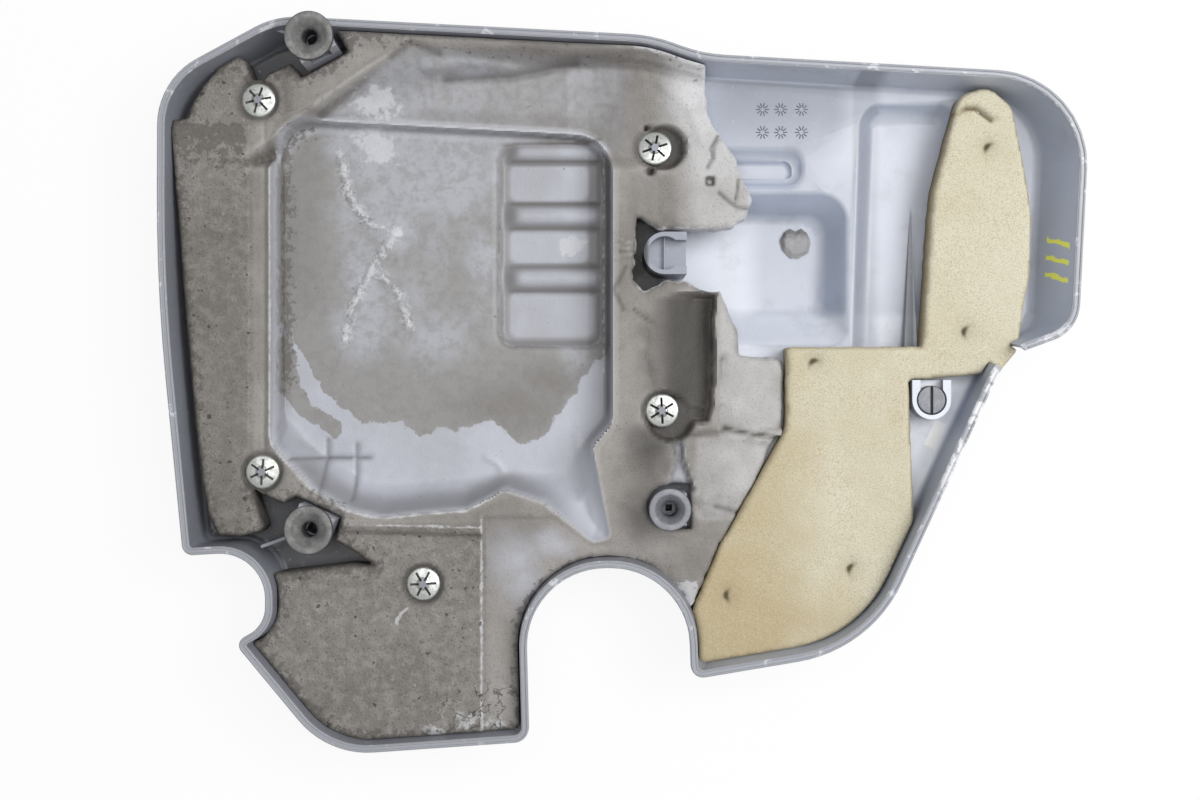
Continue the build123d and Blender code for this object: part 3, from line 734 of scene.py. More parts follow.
foam_creases = [
    ([(-217, -49), (-169, -49)], 1.5, -1.6),
    ([(-197, -37), (-197, -74)], 1.5, -1.6),
    ([(-177.5, -40), (-177.5, -76)], 1.5, -1.5),
    ([(-91, -48), (-85, -51), (-79.5, -58)], 1.6, 1.5),
    ([(-189, 156), (-184, 130), (-174, 112), (-152, 102)], 2.0, 1.3),
    ([(-152, 102), (-168, 78), (-181, 52), (-186, 30)], 2.0, 1.1),
    ([(-165, 76), (-150, 62), (-142, 40)], 2.0, 1.1),
    ([(-205, 178), (-170, 203), (-141, 223)], 2.4, 1.6),
    ([(-128, 207), (-100, 211), (-72, 209)], 3.6, 2.2),
    ([(-116, 201), (-72, 204), (-30, 212)], 2.8, -2.0),
    ([(-66, 212), (-30, 216), (-4, 217)], 3.0, 1.4),
    ([(-150, 213), (-138, 222), (-120, 216)], 2.6, -1.6),
    ([(-36, 212), (-36, 172)], 2.0, 0.8),
    ([(-30, -34), (-24, -60), (-18, -92)], 2.2, 0.8),
    ([(-6, 97), (5, 93)], 1.6, 2.0),
    ([(-6, 91), (5, 89)], 1.6, 2.0),
    ([(-5, 84), (6, 85)], 1.6, 2.0),
    ([(62.7, 163.1), (58, 155), (59.5, 149), (55.8, 142.1)], 1.2, -1.3),
    ([(64.5, 160), (61.5, 154), (62, 148)], 1.2, 1.0),
    ([(63.6, 125.7), (69.5, 120.5), (75.4, 116.2), (83.8, 115.3)], 1.2, -1.6),
    ([(76, 134.3), (75.4, 128), (74.1, 121.2)], 1.1, -1.2),
    ([(25, 197), (44, 183), (52, 160)], 3.0, 1.2),
    ([(2.7, 77.9), (-5.2, 62.1), (0.7, 49.7)], 1.3, -1.3),
    ([(7.9, 49), (19.7, 40.5)], 1.3, -1.2),
    ([(-181, -91.0), (-93, -93.0)], 1.5, 1.4),
    ([(-181, -96.0), (-93, -98.5)], 1.5, -1.6),
    ([(-91.5, -86), (-91.5, -232)], 1.1, 1.1),
    ([(67, -29), (103, -35)], 1.8, -4.0),
    ([(43, -33), (66, -31)], 1.8, -1.5),
    ([(61, -80), (76, -84)], 1.4, -1.2),
    ([(48, -12), (58, -16), (66, -10)], 1.6, 1.6),
]
print("foam features:", len(foam_creases), "creases,", len(bars), "bars")

# %% Foam heights
def shell_floor(x, y):
    """Height of the shell under the foam: 27 mm, falling by two for each millimetre inside the dish's line
    to 3 mm."""
    return np.maximum(27.0 - 2.0 * np.maximum(-plan_distance(crown, x, y), 0.0), 3.0)


def ridge_side(x, y):
    """Signed distance from the slanting ridge at the strip's left end, positive on the strip's side."""
    return ((x + 212.0) * 52.0 - (y - 172.6) * 71.0) / 88.0


def land_and_strip(x, y, rim_d):
    """Lands that fall by a soft step to the right, a strip along the far rim that rises to it in two steps,
    a ledge along the recess's left side and low swellings."""
    z = 52.0 - 8.0 * smooth(-60, 10, x)
    z = z - 1.6 * smooth(168, 170.5, y) * smooth(-214, -222, x)
    foot = np.clip(189.0 + 0.168 * (x + 164.0), 180.0, 219.0)
    strip = 29.0 + 5.0 * np.clip((y - 168.0) / (foot - 168.0), 0.0, 1.0)
    strip = strip + 20.0 * smooth(foot - 3.0, foot + 28.0, y)
    z = z + (strip - z) * smooth(-1, 5, ridge_side(x, y)) * smooth(34, -24, x) * smooth(140, 152, y)
    along_rim = smooth(-200, -182, x) * smooth(70, 48, x) * smooth(150, 190, y)
    z = z + (57.5 - z) * smooth(19, 6, rim_d) * along_rim
    lip = smooth(-30, 0, x) * smooth(172, 184, y)
    z = z - 1.1 * lip * (np.exp(-(((rim_d - 10.4) / 1.0) ** 2)) + np.exp(-(((rim_d - 14.4) / 1.0) ** 2)))
    ledge = smooth(-243.5, -240.0, x) * smooth(-64, -52, y) * smooth(176, 168, y) * smooth(-196, -216, x)
    z = z - 2.4 * ledge
    z = z - 0.9 * ledge * np.exp(-(((x + 233.5) / 1.2) ** 2))
    return z + (1.5 * lumps(x, y, 34, 14) + 0.7 * lumps(x, y, 15, 15)) * smooth(-20, 14, x)


def press_recess(z, x, y):
    """Recess pressed into that height: the share of the way from its upper line to its floor line gives a
    wall that is steep above and runs out softly, one minus the left share to a power of 2.4, less at one
    corner; then the bars."""
    edge = plan_distance(recess_top, x, y)
    upper, lower = np.maximum(-edge, 0.0), np.maximum(plan_distance(recess_floor, x, y), 0.0)
    share = np.where(upper > 0, upper / np.maximum(upper + lower, 1e-6), 0.0)
    power = 2.4 - 1.25 * np.exp(-((x + 213.0) ** 2 + (y + 46.0) ** 2) / 900.0)
    z = z + (recess_level - z) * (1.0 - (1.0 - share) ** power)
    z = z + 1.2 * np.exp(-(((edge - 1.2) / 1.5) ** 2)) * smooth(172, 160, y)
    z = z + 2.4 * np.exp(-(((share - 0.42) / 0.14) ** 2)) * smooth(-30, -18, x) * smooth(-34, -16, y)
    in_cells = smooth(1.0, -6.0, box_distance(cell_block, 12.0, x, y))
    z = z - 6.0 * in_cells * smooth(0.5, 0.9, share)
    for middle, half in bars:
        arch = np.clip(1.0 - ((y - middle) / half) ** 2, 0.0, 1.0) ** 0.8
        z = z + 6.3 * arch * smooth(-82, -68, x) * smooth(-10, -16, x)
    return z, share


def press_right_side(z, x, y):
    """Sunk ground, the strip, the two low blocks and the waisted slot on the torn side, each mixed in by a
    soft step of its own distance."""
    sunk = plan_distance(sunk_line, x, y) + 1.5 * lumps(x, y, 8, 62)
    z = z + (30.0 + 14.0 * smooth(60, 20, x) - z) * smooth(0.8, -2.4, sunk)
    crest = box_distance((61.7, 79.0, -2.0, 64.0), 6.0, x, y) + 2.2 * lumps(x, y, 10, 61)
    z = z + (47.0 - 7.0 * smooth(62, 77, x) - z) * smooth(1.0, -1.6, crest)
    block = box_distance((60.0, 110.0, -31.0, 22.0), 9.0, x, y) + 1.6 * lumps(x, y, 12, 63)
    pad = 43.0 - 0.0040 * ((x - 82.0) ** 2 + (y + 4.0) ** 2)
    z = z + (pad - z) * smooth(0.5, -4.0, block) * smooth(61, 66, x)
    block = box_distance((44.0, 110.0, -88.0, -35.0), 12.0, x, y) + 1.8 * lumps(x, y, 12, 64)
    pad = 43.5 - 0.0034 * ((x - 70.0) ** 2 + (y + 58.0) ** 2)
    z = z + (pad - z) * smooth(0.5, -6.0, block)
    half = np.interp(-y, slot_down, slot_half)
    middle = np.interp(-y, slot_down, slot_middle)
    slot = smooth(0.8, -1.6, np.abs(x - middle) - half) * smooth(-35, -39, y) * smooth(-72, -68, y)
    z = z - 6.0 * slot
    z = z - 3.6 * smooth(38, 22, x) * smooth(2, 14, x) * smooth(98, 106, y) * smooth(150, 132, y)
    z = z - 4.2 * smooth(0.8, -1.2, box_distance(square_hole, 1.0, x, y))
    z = z + 2.4 * np.exp(-((x - 53.8) ** 2 + (y + 75.0) ** 2) / 18.0)
    z = z - 7.0 * np.exp(-((x - 16.1) ** 2 + (y - 169.0) ** 2) / 3.0)
    return z - 9.0 * np.exp(-((x - 18.8) ** 2 + (y - 140.8) ** 2) / 7.0)


def foam_top(x, y, d):
    """Top of the grey foam: land, recess and right side, then the nuts' wells, the creases as bell curves
    across their lines, small lumps and a rolled edge."""
    z = land_and_strip(x, y, -plan_distance(rim, x, y))
    z, share = press_recess(z, x, y)
    z = press_right_side(z, x, y)
    z = z - 1.5 * smooth(-92.2, -90.8, x) * smooth(-85, -88, y) * smooth(-34, -62, x)
    for wx, wy, radius, level in wells:
        z = np.minimum(z, z + (level - z) * smooth(radius + 2.2, radius - 1.2, np.hypot(x - wx, y - wy)))
    for nx, ny, level in nut_places:
        r = np.hypot(x - nx, y - ny)
        z = np.where(r < 14.5, np.minimum(z, z + (level - 0.2 - z) * smooth(14.5, 11.6, r)), z)
    for run, width, height in foam_creases:
        z = z + height * np.exp(-((line_distance(run, x, y) / width) ** 2))
    base = shell_floor(x, y) + 2.0
    eased = 0.5 * (z + base + np.sqrt((z - base) ** 2 + 36.0))
    inside = smooth(0.05, 0.4, share)
    z = np.maximum(z, base) * (1.0 - inside) + eased * inside
    calm = 1.0 - 0.6 * smooth(0.6, 1.0, share)
    z = z + calm * (0.40 * lumps(x, y, 17, 11) + 0.22 * lumps(x, y, 6, 12) + 0.14 * lumps(x, y, 2.6, 13))
    rolled = np.clip(1.0 + d / 3.0, 0.0, 1.0)
    deep = 2.4 - 1.5 * smooth(12, 8, -plan_distance(rim, x, y))
    return z - deep * (1.0 - np.sqrt(1.0 - rolled**2))


def foam_bottom(x, y, z):
    """Underside: 5 mm under the top, held between the shell's floor and the land's underside, lifted at the
    walls."""
    base = np.maximum(np.minimum(27.4, z - 5.0), shell_floor(x, y) + 0.3)
    off_wall = -plan_distance(rim, x, y) - 5.6
    leaning = rim_level - 35.0 * off_wall / 6.0
    return np.minimum(np.maximum(base, leaning), z - 1.5)


columns = lines(-296, 108, 1.95, [(-245, -222, 1.0), (-20, -2, 1.0), (54, 84, 1.1)])
rows = lines(-236, 234, 2.0, [(160, 178, 0.9), (194, 222, 1.1), (112, 138, 1.2), (-104, -66, 1.3)])
points, faces = plate(columns, rows, foam_plan, foam_top, foam_bottom)
print("foam spans", points.min(axis=0).round(1), points.max(axis=0).round(1))

# %% [markdown]
# ## Marks on the grey foam
# The recess has a glazed skin with brown stains, white patches and cracks, and the lands are dusty. Other
# marks are painted shade and painted light: the wells, holes, grooves, hollows, torn places and some lips
# and walls are darkened, and the glaze, crests, lip lines and flap get painted sheen and highlights.
# Painting these by hand would need an image. Instead each mark is a number stored on the mesh's points,
# worked out from the same distances as the shape, and the material reads it.

# %% Fields for the foam's marks
x, y, z = points.T
rim_d = -plan_distance(rim, x, y)
top_d = plan_distance(recess_top, x, y)


def hollow(reach):
    """Mean height on a ring of that radius less the height at the point: positive in a hollow, negative on
    a crest."""
    half = len(x) // 2
    inside = np.full(half, -9.0)
    ring = np.zeros(half)
    for turn in np.arange(8) * np.pi / 4:
        ring = ring + foam_top(x[:half] + reach * np.cos(turn), y[:half] + reach * np.sin(turn), inside) / 8
    return np.tile(ring - foam_top(x[:half], y[:half], inside), 2)


close, wide = hollow(2.4), hollow(6.5)
torn_d = foam_plan(x, y)
waver = 6.0 * lumps(x, y, 21, 21) + 4.0 * lumps(x, y, 8, 22)
stain_line = np.array([
    (-250, 60), (-222, 34), (-212, 14), (-204.5, 1), (-184.5, -14), (-171.5, -22), (-151.5, -27),
    (-131.5, -30.5), (-105, -30.5), (-85, -22), (-78.5, -29.5), (-70, -38.5), (-52, -32), (-42, -19),
    (-29, -2.5), (-20.5, 11), (-5, 30),
])
above_line = y + 0.5 * waver - np.interp(x, stain_line[:, 0], stain_line[:, 1])
second = line_distance([(-227, 26), (-224, -2), (-212, -16), (-192, -29)], x, y) + 0.3 * waver
strip_part = smooth(1, 6, ridge_side(x, y)) * smooth(20, -14, x) * smooth(150, 156, y)


def blots(places):
    """Largest of several bell-shaped spots (x, y, half width, half depth), with wavering edges."""
    best = np.zeros_like(x)
    for sx, sy, wide, deep in places:
        best = np.maximum(
            best, np.exp(-(((x - sx + 0.7 * waver) / wide) ** 2) - ((y - sy - 0.7 * waver) / deep) ** 2)
        )
    return best


print("torn edge reaches", torn_d.min().round(1), "mm in")

# %% Glaze, stain and sheen
glaze = smooth(1.6, -0.4, top_d)
glaze = np.maximum(glaze, 0.85 * strip_part * smooth(10, 20, rim_d))
slot_d = np.abs(x - 38.0) - np.interp(-y, slot_down, slot_half)
glaze = np.maximum(glaze, 0.9 * smooth(1.0, -1.0, slot_d) * smooth(-36, -39, y) * smooth(-72, -68, y))
stain = smooth(-7.0, 7.0, above_line) * smooth(1.0, -2.0, top_d)
# Spots where the stained skin is lighter, partly painted sheen; they feed the sheen mark below.
clear = blots([
    (-168, 160, 17, 15), (-171, 186, 17, 13), (-152, 104, 12, 10), (-170, 60, 11, 26), (-95, 86, 7, 16),
    (-30, 20, 15, 26), (-130, 30, 26, 20), (-122, 142, 36, 26), (-176, 32, 28, 18),
])
in_block = smooth(0.0, -4.0, box_distance(cell_block, 12.0, x, y))
stain = stain * (1.0 - 0.97 * in_block)
stain = np.maximum(stain, smooth(0.0, 0.12, strip_part) * smooth(1.0, 3.0, top_d))
stain = np.maximum(stain, smooth(10.0, 3.0, second) * smooth(1, -2, top_d))
# Painted sheen and highlights on the glazed skin, together with places where the stain is lighter: it rises
# towards the far side and in the clear spots, is less on the left, and adds a painted highlight on the strip
# and on a fold near the far rim.
sheen = 0.26 * smooth(10, 70, y) + 0.7 * clear + 0.14 * lumps(x, y, 26, 24) - 0.40 * smooth(-182, -206, x)
sheen = sheen + 0.38 * blots([(-150, 130, 50, 34)]) + 0.28 * strip_part + 0.7 * blots([(-104, 211, 18, 4)])
# Fair skin and painted light: the flap, the two blocks and the flap's far corner, whose slope faces away from
# the lamps, are made lighter, and the lumps add painted swells of sheen.
fair_and_lit = 1.0 * smooth(30, 54, x) * smooth(98, 104, y) * smooth(190, 172, y)
fair_and_lit = np.maximum(fair_and_lit, 0.85 * smooth(62, 66, x) * smooth(64, 60, y) * smooth(-92, -84, y))
fair_and_lit = np.maximum(fair_and_lit, 0.8 * smooth(45, 52, x) * smooth(-33, -37, y) * smooth(-92, -84, y))
fair_and_lit = np.maximum(fair_and_lit, 0.95 * smooth(22, 44, x) * smooth(172, 188, y))
fair_and_lit = fair_and_lit * (0.84 + 0.30 * lumps(x, y, 17, 26) + 0.14 * lumps(x, y, 7, 27))
print("glazed share of the points:", glaze.mean().round(2))

# %% Pale places, painted light, highlights and cracks
pale_and_highlight = 0.95 * blots([(-161, 187, 17, 13), (-166, 162, 14, 12), (-34, 94, 13, 7), (-152, 103, 5, 5)])
glaze = np.maximum(
    glaze,
    0.72 * blots([(-70, -114, 18, 16), (-62, -130, 11, 16), (-46, -104, 12, 8)]) * smooth(-90, -88, x),
)
pale_and_highlight = np.maximum(pale_and_highlight, 0.80 * smooth(-2.4, -0.8, torn_d) * smooth(0, 14, x) * smooth(30, 60, y))
# Painted light on the flap's far slope, which faces away from the lamps.
flap_painted_light = 0.8 * smooth(16, 50, x) * smooth(140, 192, y) * (0.9 + 0.3 * lumps(x, y, 15, 28))
pale_and_highlight = np.maximum(pale_and_highlight, np.exp(-((x - 58.2) ** 2 + (y - 133.2) ** 2) / 2.4))
pale_and_highlight = np.maximum(pale_and_highlight, 1.1 * blots([(42, -137, 11, 9)]))
broken = line_distance(
    [(-189, 156), (-184, 130), (-174, 112), (-152, 102), (-168, 78), (-181, 52), (-186, 30)], x, y
)
broken = np.minimum(broken, line_distance([(-165, 76), (-150, 62), (-142, 40)], x, y))
crazed = 0.9 * smooth(8.0, 1.0, broken + 0.4 * np.abs(waver))
pale_and_highlight = np.maximum(pale_and_highlight, 0.66 * smooth(6.0, 0.6, broken + 0.35 * np.abs(waver)))
pale_and_highlight = np.maximum(pale_and_highlight, 0.72 * smooth(1.7, 0.3, line_distance([(-91.5, -88), (-91.5, -232)], x, y)))
pale_and_highlight = np.maximum(pale_and_highlight, 0.66 * smooth(1.8, 0.3, line_distance([(-181, -91.0), (-93, -93.0)], x, y)))
pale_and_highlight = np.maximum(
    pale_and_highlight, 0.9 * smooth(2.0, 0.6, line_distance([(-139, -145), (-144, -149), (-147, -155)], x, y))
)
pale_and_highlight = np.maximum(pale_and_highlight, 0.7 * blots([(-100, -219, 13, 7), (-124, -226, 12, 5), (-80, -224, 8, 7)]))
# Painted highlights: thin pale lines along the recess's lower and left lips, and along the ledge by its right
# wall.
low_lip = smooth(-40, -50, y) * smooth(-60, -90, x) + smooth(-200, -215, x) * smooth(160, 150, y)
pale_and_highlight = np.maximum(pale_and_highlight, 0.85 * np.exp(-(((top_d - 1.4) / 0.9) ** 2)) * np.clip(low_lip, 0, 1))
pale_and_highlight = np.maximum(pale_and_highlight, 0.6 * np.exp(-(((x + 12.0) / 0.9) ** 2)) * smooth(0, 12, y) * smooth(158, 150, y))
crazed = np.maximum(crazed, smooth(-186, -204, y) * smooth(-130, -108, x))
crazed = np.maximum(crazed, 0.5 * smooth(14, 9, rim_d) * smooth(-192, -205, y))
dusty = np.maximum(smooth(-238, -243, x), smooth(-88, -94, y) * smooth(-84, -93, x))
dusty = np.maximum(dusty, 0.8 * smooth(172, 180, y) * smooth(-206, -220, x))
print("pale share of the points:", pale_and_highlight.mean().round(2))

# %% Painted shade and brown dirt
# Painted shade, nearly black: the sunk ground, the wells and the rings round the nuts, the holes, the grooves
# of the creases and the lines below.
painted_shade = 0.93 * smooth(0.6, -5.0, plan_distance(sunk_line, x, y) + 1.5 * lumps(x, y, 8, 62)) * smooth(12, 36, x)
for wx, wy, radius, level in wells:
    painted_shade = np.maximum(painted_shade, 0.9 * smooth(radius + 1.0, radius - 2.0, np.hypot(x - wx, y - wy)))
for nx, ny, level in nut_places:
    painted_shade = np.maximum(painted_shade, 0.65 * smooth(17, 12, np.hypot(x - nx, y - ny)))
painted_shade = np.maximum(painted_shade, 0.9 * smooth(4.0, 2.0, np.hypot(x - 18.8, y - 140.8)))
painted_shade = np.maximum(painted_shade, 0.6 * np.exp(-((box_distance(square_hole, 1.0, x, y) + 0.6) ** 2) / 1.2))
painted_shade = np.maximum(painted_shade, 0.9 * smooth(2.6, 1.4, np.hypot(x - 16.1, y - 169.0)))
painted_shade = np.maximum(painted_shade, 0.9 * blots([(22, -42, 16, 22), (36, 4, 18, 30)]))
for run, width, height in foam_creases:
    painted_shade = np.maximum(painted_shade, 0.46 * (height < -1.1) * np.exp(-((line_distance(run, x, y) / width) ** 2)))
brown_dirt_and_shade = 0.30 * smooth(-242, -248, x) * smooth(128, 90, y)
# Painted shade on the bars' flanks: dark lines along each bar's edges.
for middle, half in bars:
    edge_line = np.exp(-(((np.abs(y - middle) - 0.85 * half) / 2.2) ** 2))
    edge_line = edge_line * smooth(-84, -74, x) * smooth(-11, -15, x)
    brown_dirt_and_shade = np.maximum(brown_dirt_and_shade, 0.98 * edge_line)
# Cells' floors and bars' tops keep the light skin; the rest of the block gets painted shade below.
in_cell = np.zeros_like(x)
for cell in cells:
    in_cell = np.maximum(in_cell, smooth(1.5, -3.0, box_distance(cell, 7.0, x, y)))
for middle, half in bars:
    in_cell = np.maximum(
        in_cell, smooth(0.75, 0.25, np.abs(y - middle) / half) * smooth(-74, -62, x) * smooth(-14, -20, x)
    )
brown_dirt_and_shade = np.maximum(brown_dirt_and_shade, 0.75 * in_block * (1.0 - in_cell))
brown_dirt_and_shade = np.maximum(brown_dirt_and_shade, 0.16 * in_block * smooth(-30, -50, x))
brown_dirt_and_shade = np.maximum(brown_dirt_and_shade, 0.58 * blots([(-70, -16, 40, 20), (-46, 2, 26, 14)]) * smooth(-4, 6, above_line))
# More painted shade: the right wall's shadow beside the cells, the hollow by the holder, torn edges, the far
# lip, the right wall's foot and a line outside the lower lip.
painted_shade = np.maximum(
    painted_shade, 0.22 * smooth(-23.5, -21.0, x) * smooth(-11.0, -13.0, x) * smooth(8, 26, y) * smooth(162, 152, y)
)
painted_shade = np.maximum(painted_shade, 0.22 * smooth(30, 18, x) * smooth(0, 8, x) * smooth(98, 106, y) * smooth(146, 132, y))
painted_shade = np.maximum(painted_shade, 0.75 * smooth(-2.5, -0.5, torn_d) * smooth(10, -30, x))
painted_shade = np.maximum(
    painted_shade, 0.25 * np.exp(-(((top_d + 0.3) / 0.8) ** 2)) * smooth(152, 162, y) * smooth(-226, -216, x)
)
painted_shade = np.maximum(
    painted_shade,
    0.75 * smooth(0.6, -0.8, top_d) * smooth(-4.6, -3.4, top_d) * smooth(-13, -9, x) * smooth(-30, -12, y),
)
# Painted shade on the recess's lower wall.
brown_dirt_and_shade = np.maximum(
    brown_dirt_and_shade,
    0.55 * smooth(0.5, -2.0, top_d) * smooth(-15.0, -5.0, top_d) * smooth(-44, -56, y)
    * smooth(-40, -70, x),
)
painted_shade = np.maximum(
    painted_shade, 0.30 * np.exp(-(((top_d - 4.0) / 2.0) ** 2)) * smooth(-160, -190, x) * smooth(-50, -40, y)
)
# Painted shade on the low floor by the holder and round the lower nut.
painted_shade = np.maximum(
    painted_shade,
    0.95 * smooth(40, 36, z) * smooth(-6, 2, x) * smooth(24, 16, x) * smooth(52, 58, y)
    * smooth(118, 112, y),
)
painted_shade = np.maximum(painted_shade, 0.9 * smooth(20.5, 15.5, np.hypot(x - 32.0, y + 20.5)))
brown_dirt_and_shade = np.maximum(brown_dirt_and_shade, 0.26 * smooth(-194, -212, x) * smooth(-2, -6, top_d) * smooth(30, 70, y))
brown_dirt_and_shade = np.maximum(
    brown_dirt_and_shade, 0.34 * smooth(2, 5, top_d) * smooth(15, 9, top_d) * smooth(150, 165, y) * smooth(-150, -125, x)
)
brown_dirt_and_shade = np.maximum(brown_dirt_and_shade, 0.26 * blots([(-8, 165, 22, 44)]))
print("sooty share of the points:", painted_shade.mean().round(2))

# %% Grime and wear
grime = 0.80 * smooth(124, 166, y) * smooth(174, 168, y) * smooth(-241, -248, x)
grime = np.maximum(grime, 0.6 * smooth(-14, -2, torn_d) * smooth(-120, -150, x))
grime = np.maximum(
    grime, 0.24 * smooth(22, 13, rim_d) * smooth(-190, -170, x) * smooth(70, 45, x) * smooth(150, 190, y)
)
grime = np.maximum(
    grime,
    0.62 * smooth(0, -2, top_d) * smooth(-16, -3, top_d) * smooth(-196, -214, x) * smooth(-24, 10, y),
)
grime = np.maximum(grime, 0.5 * smooth(-10, -1, torn_d) * smooth(-40, -60, y) * smooth(-20, -60, x))
# Painted shade in the hollows, less on the glaze.
brown_dirt_and_shade = np.maximum(brown_dirt_and_shade, 0.75 * smooth(0.25, 1.5, close) * (1.0 - 0.45 * glaze))
brown_dirt_and_shade = np.maximum(brown_dirt_and_shade, 0.60 * smooth(0.6, 4.0, wide) * (1.0 - 0.75 * glaze))
brown_dirt_and_shade = brown_dirt_and_shade * (1.0 - 0.85 * smooth(22, 40, x) * smooth(172, 184, y))
# Wear and painted highlight on the crests, and painted light on the recess's far lip wall and on the wedge at
# its near right end.
worn = np.maximum(0.8 * smooth(0.3, 1.5, -close), 0.5 * smooth(0.8, 4.0, -wide))
worn = np.maximum(
    worn, 0.6 * smooth(1, -1, top_d) * smooth(-8, -4, top_d) * smooth(150, 160, y) * smooth(-40, -80, x)
)
worn = np.maximum(worn, 0.7 * smooth(0, -3, top_d) * smooth(-44, -30, x) * smooth(-30, -52, y))
print("grimy share of the points:", grime.mean().round(2))

# %% Grey foam piece
marks = {"sheen": sheen, "fair_and_lit": fair_and_lit, "grime": grime, "brown_dirt_and_shade": brown_dirt_and_shade, "worn": worn, "glaze": glaze}
marks |= {"stain": stain, "pale_and_highlight": pale_and_highlight, "painted_shade": painted_shade, "dusty": dusty, "crazed": crazed, "flap_painted_light": flap_painted_light}
front_foam = piece(
    "front_absorber_foam", points, faces, "front_absorber", sharp=60.0, marks=marks
)

# %% [markdown]
# ## The grey foam's finish
# Dusty lands, a glazed recess and dark tears are all one foam, so they are one material. Two grounds, land
# and skin, are mixed by the glaze mark, and dirt, wear, cracks, painted shade and painted light are laid
# over both. Dried dirt has a lacy edge. It could come from a painted image; here noise is added to a soft
# mark before the sum is stepped.

# %% Grey foam finish
def frayed(tree, mark, scale, amount, low, high):
    """Lacy edge for a soft mark: noise about zero, times the amount, is added and the sum is stepped."""
    noise = math_node(tree, "SUBTRACT", noise_node(tree, scale, 6.0, 0.62), 0.5)
    total = math_node(tree, "ADD", mark, times(tree, noise, amount))
    return range_node(tree, total, low, high)


grey, tree, shader = finish("moulded_foam", specular=0.5)
glaze_mark, painted_shade_mark = mark_node(tree, "glaze"), mark_node(tree, "painted_shade")
dusty_mark, crazed_mark = mark_node(tree, "dusty"), mark_node(tree, "crazed")
stained = frayed(tree, mark_node(tree, "stain"), 110.0, 1.7, 0.42, 0.56)
shiny = frayed(tree, mark_node(tree, "sheen"), 42.0, 0.9, 0.05, 0.85)
grimy = frayed(tree, mark_node(tree, "grime"), 210.0, 2.6, 0.44, 0.62)
bleached_and_highlight = frayed(tree, mark_node(tree, "pale_and_highlight"), 170.0, 1.9, 0.38, 0.72)
broad = place_group(tree, "dirt_mottle", Scale=17.0, Low=0.36, High=0.68)
patch = place_group(tree, "dirt_mottle", Scale=150.0, Low=0.42, High=0.64)
pore = place_group(tree, "fine_specks", Scale=760.0, Low=0.56, High=0.70)
bits = place_group(tree, "fine_specks", Scale=330.0, Low=0.69, High=0.74)
hair = place_group(tree, "fine_cracks", Scale=75.0, Width=0.030)
gape = place_group(tree, "fine_cracks", Scale=62.0, Width=0.020)
clean = layer(tree, (0.325, 0.307, 0.290), (0.218, 0.201, 0.185), broad)
dirty = layer(tree, (0.235, 0.220, 0.205), (0.185, 0.171, 0.157), broad)
dirty = layer(tree, dirty, (0.33, 0.312, 0.292), times(tree, patch, 0.55))
# Fair skin and painted light, from their mark.
land = layer(tree, clean, (0.525, 0.520, 0.520), mark_node(tree, "fair_and_lit"))
# Painted light on the flap's far slope.
land = layer(tree, land, (0.64, 0.645, 0.665), mark_node(tree, "flap_painted_light"))
land = layer(tree, land, dirty, dusty_mark)
land = layer(tree, land, (0.095, 0.085, 0.075), times(tree, pore, blend_value(tree, 0.28, 0.62, dusty_mark)))
land = layer(tree, land, (0.46, 0.44, 0.40), times(tree, bits, blend_value(tree, 0.0, 0.45, dusty_mark)))
skin = layer(tree, (0.49, 0.505, 0.565), (0.42, 0.43, 0.475), broad)
# Painted sheen lifts the stained skin towards lavender.
stale = layer(tree, (0.288, 0.282, 0.278), (0.405, 0.415, 0.452), shiny)
stale = layer(tree, stale, (0.225, 0.215, 0.205), times(tree, patch, 0.42))
skin = layer(tree, skin, stale, stained)
colour = layer(tree, land, skin, glaze_mark)
# Brown dirt and painted shade.
colour = layer(tree, colour, (0.140, 0.124, 0.108), times(tree, mark_node(tree, "brown_dirt_and_shade"), 0.85))
# Wear and painted highlights: crests and some walls lighter.
bright = layer(tree, (0.44, 0.425, 0.405), (0.60, 0.615, 0.665), glaze_mark)
colour = layer(tree, colour, bright, times(tree, mark_node(tree, "worn"), 0.7))
# Pale patches and tears, with painted highlight lines.
colour = layer(tree, colour, (0.64, 0.65, 0.68), times(tree, bleached_and_highlight, 0.62))
colour = layer(
    tree, colour, (0.66, 0.66, 0.66),
    times(tree, hair, crazed_mark, blend_value(tree, 0.16, 0.8, glaze_mark)),
)
colour = layer(tree, colour, (0.105, 0.094, 0.084), times(tree, grimy, 0.62))
dots = place_group(tree, "fine_specks", Scale=170.0, Low=0.685, High=0.715)
colour = layer(tree, colour, (0.05, 0.045, 0.04), times(tree, dots, dusty_mark, 0.8))
# Painted shade, nearly black, from its mark.
colour = layer(tree, colour, (0.040, 0.036, 0.032), times(tree, painted_shade_mark, 0.93))
colour = layer(
    tree, colour, (0.05, 0.045, 0.04),
    times(tree, gape, crazed_mark, blend_value(tree, 0.9, 0.5, glaze_mark)),
)
tree.links.new(colour, shader.inputs["Base Color"])
gloss = blend_value(tree, 0.62, 0.36, glaze_mark)
gloss = math_node(tree, "ADD", gloss, times(tree, dusty_mark, 0.26))
tree.links.new(math_node(tree, "ADD", gloss, times(tree, stained, 0.12)), shader.inputs["Roughness"])
relief = place_group(tree, "moulded_grain", Scale=620.0, Broad_Scale=120.0)
relief = times(tree, relief, blend_value(tree, 0.55, 0.25, glaze_mark))
relief = times(tree, relief, blend_value(tree, 1.0, 1.9, dusty_mark))
raise_bump(tree, shader, relief, 0.65, 0.0012)
front_foam.data.materials.append(grey)
print("grey foam finish:", grey.name)

# %% [markdown]
# ## The yellow cut foam
# A 20 mm sheet of open-cell foam, cut with a knife and pushed over small pins, which pull dimples into its
# top. Its edges are soft, and one tip is folded over. The same plan builder makes it, with a gentler top.

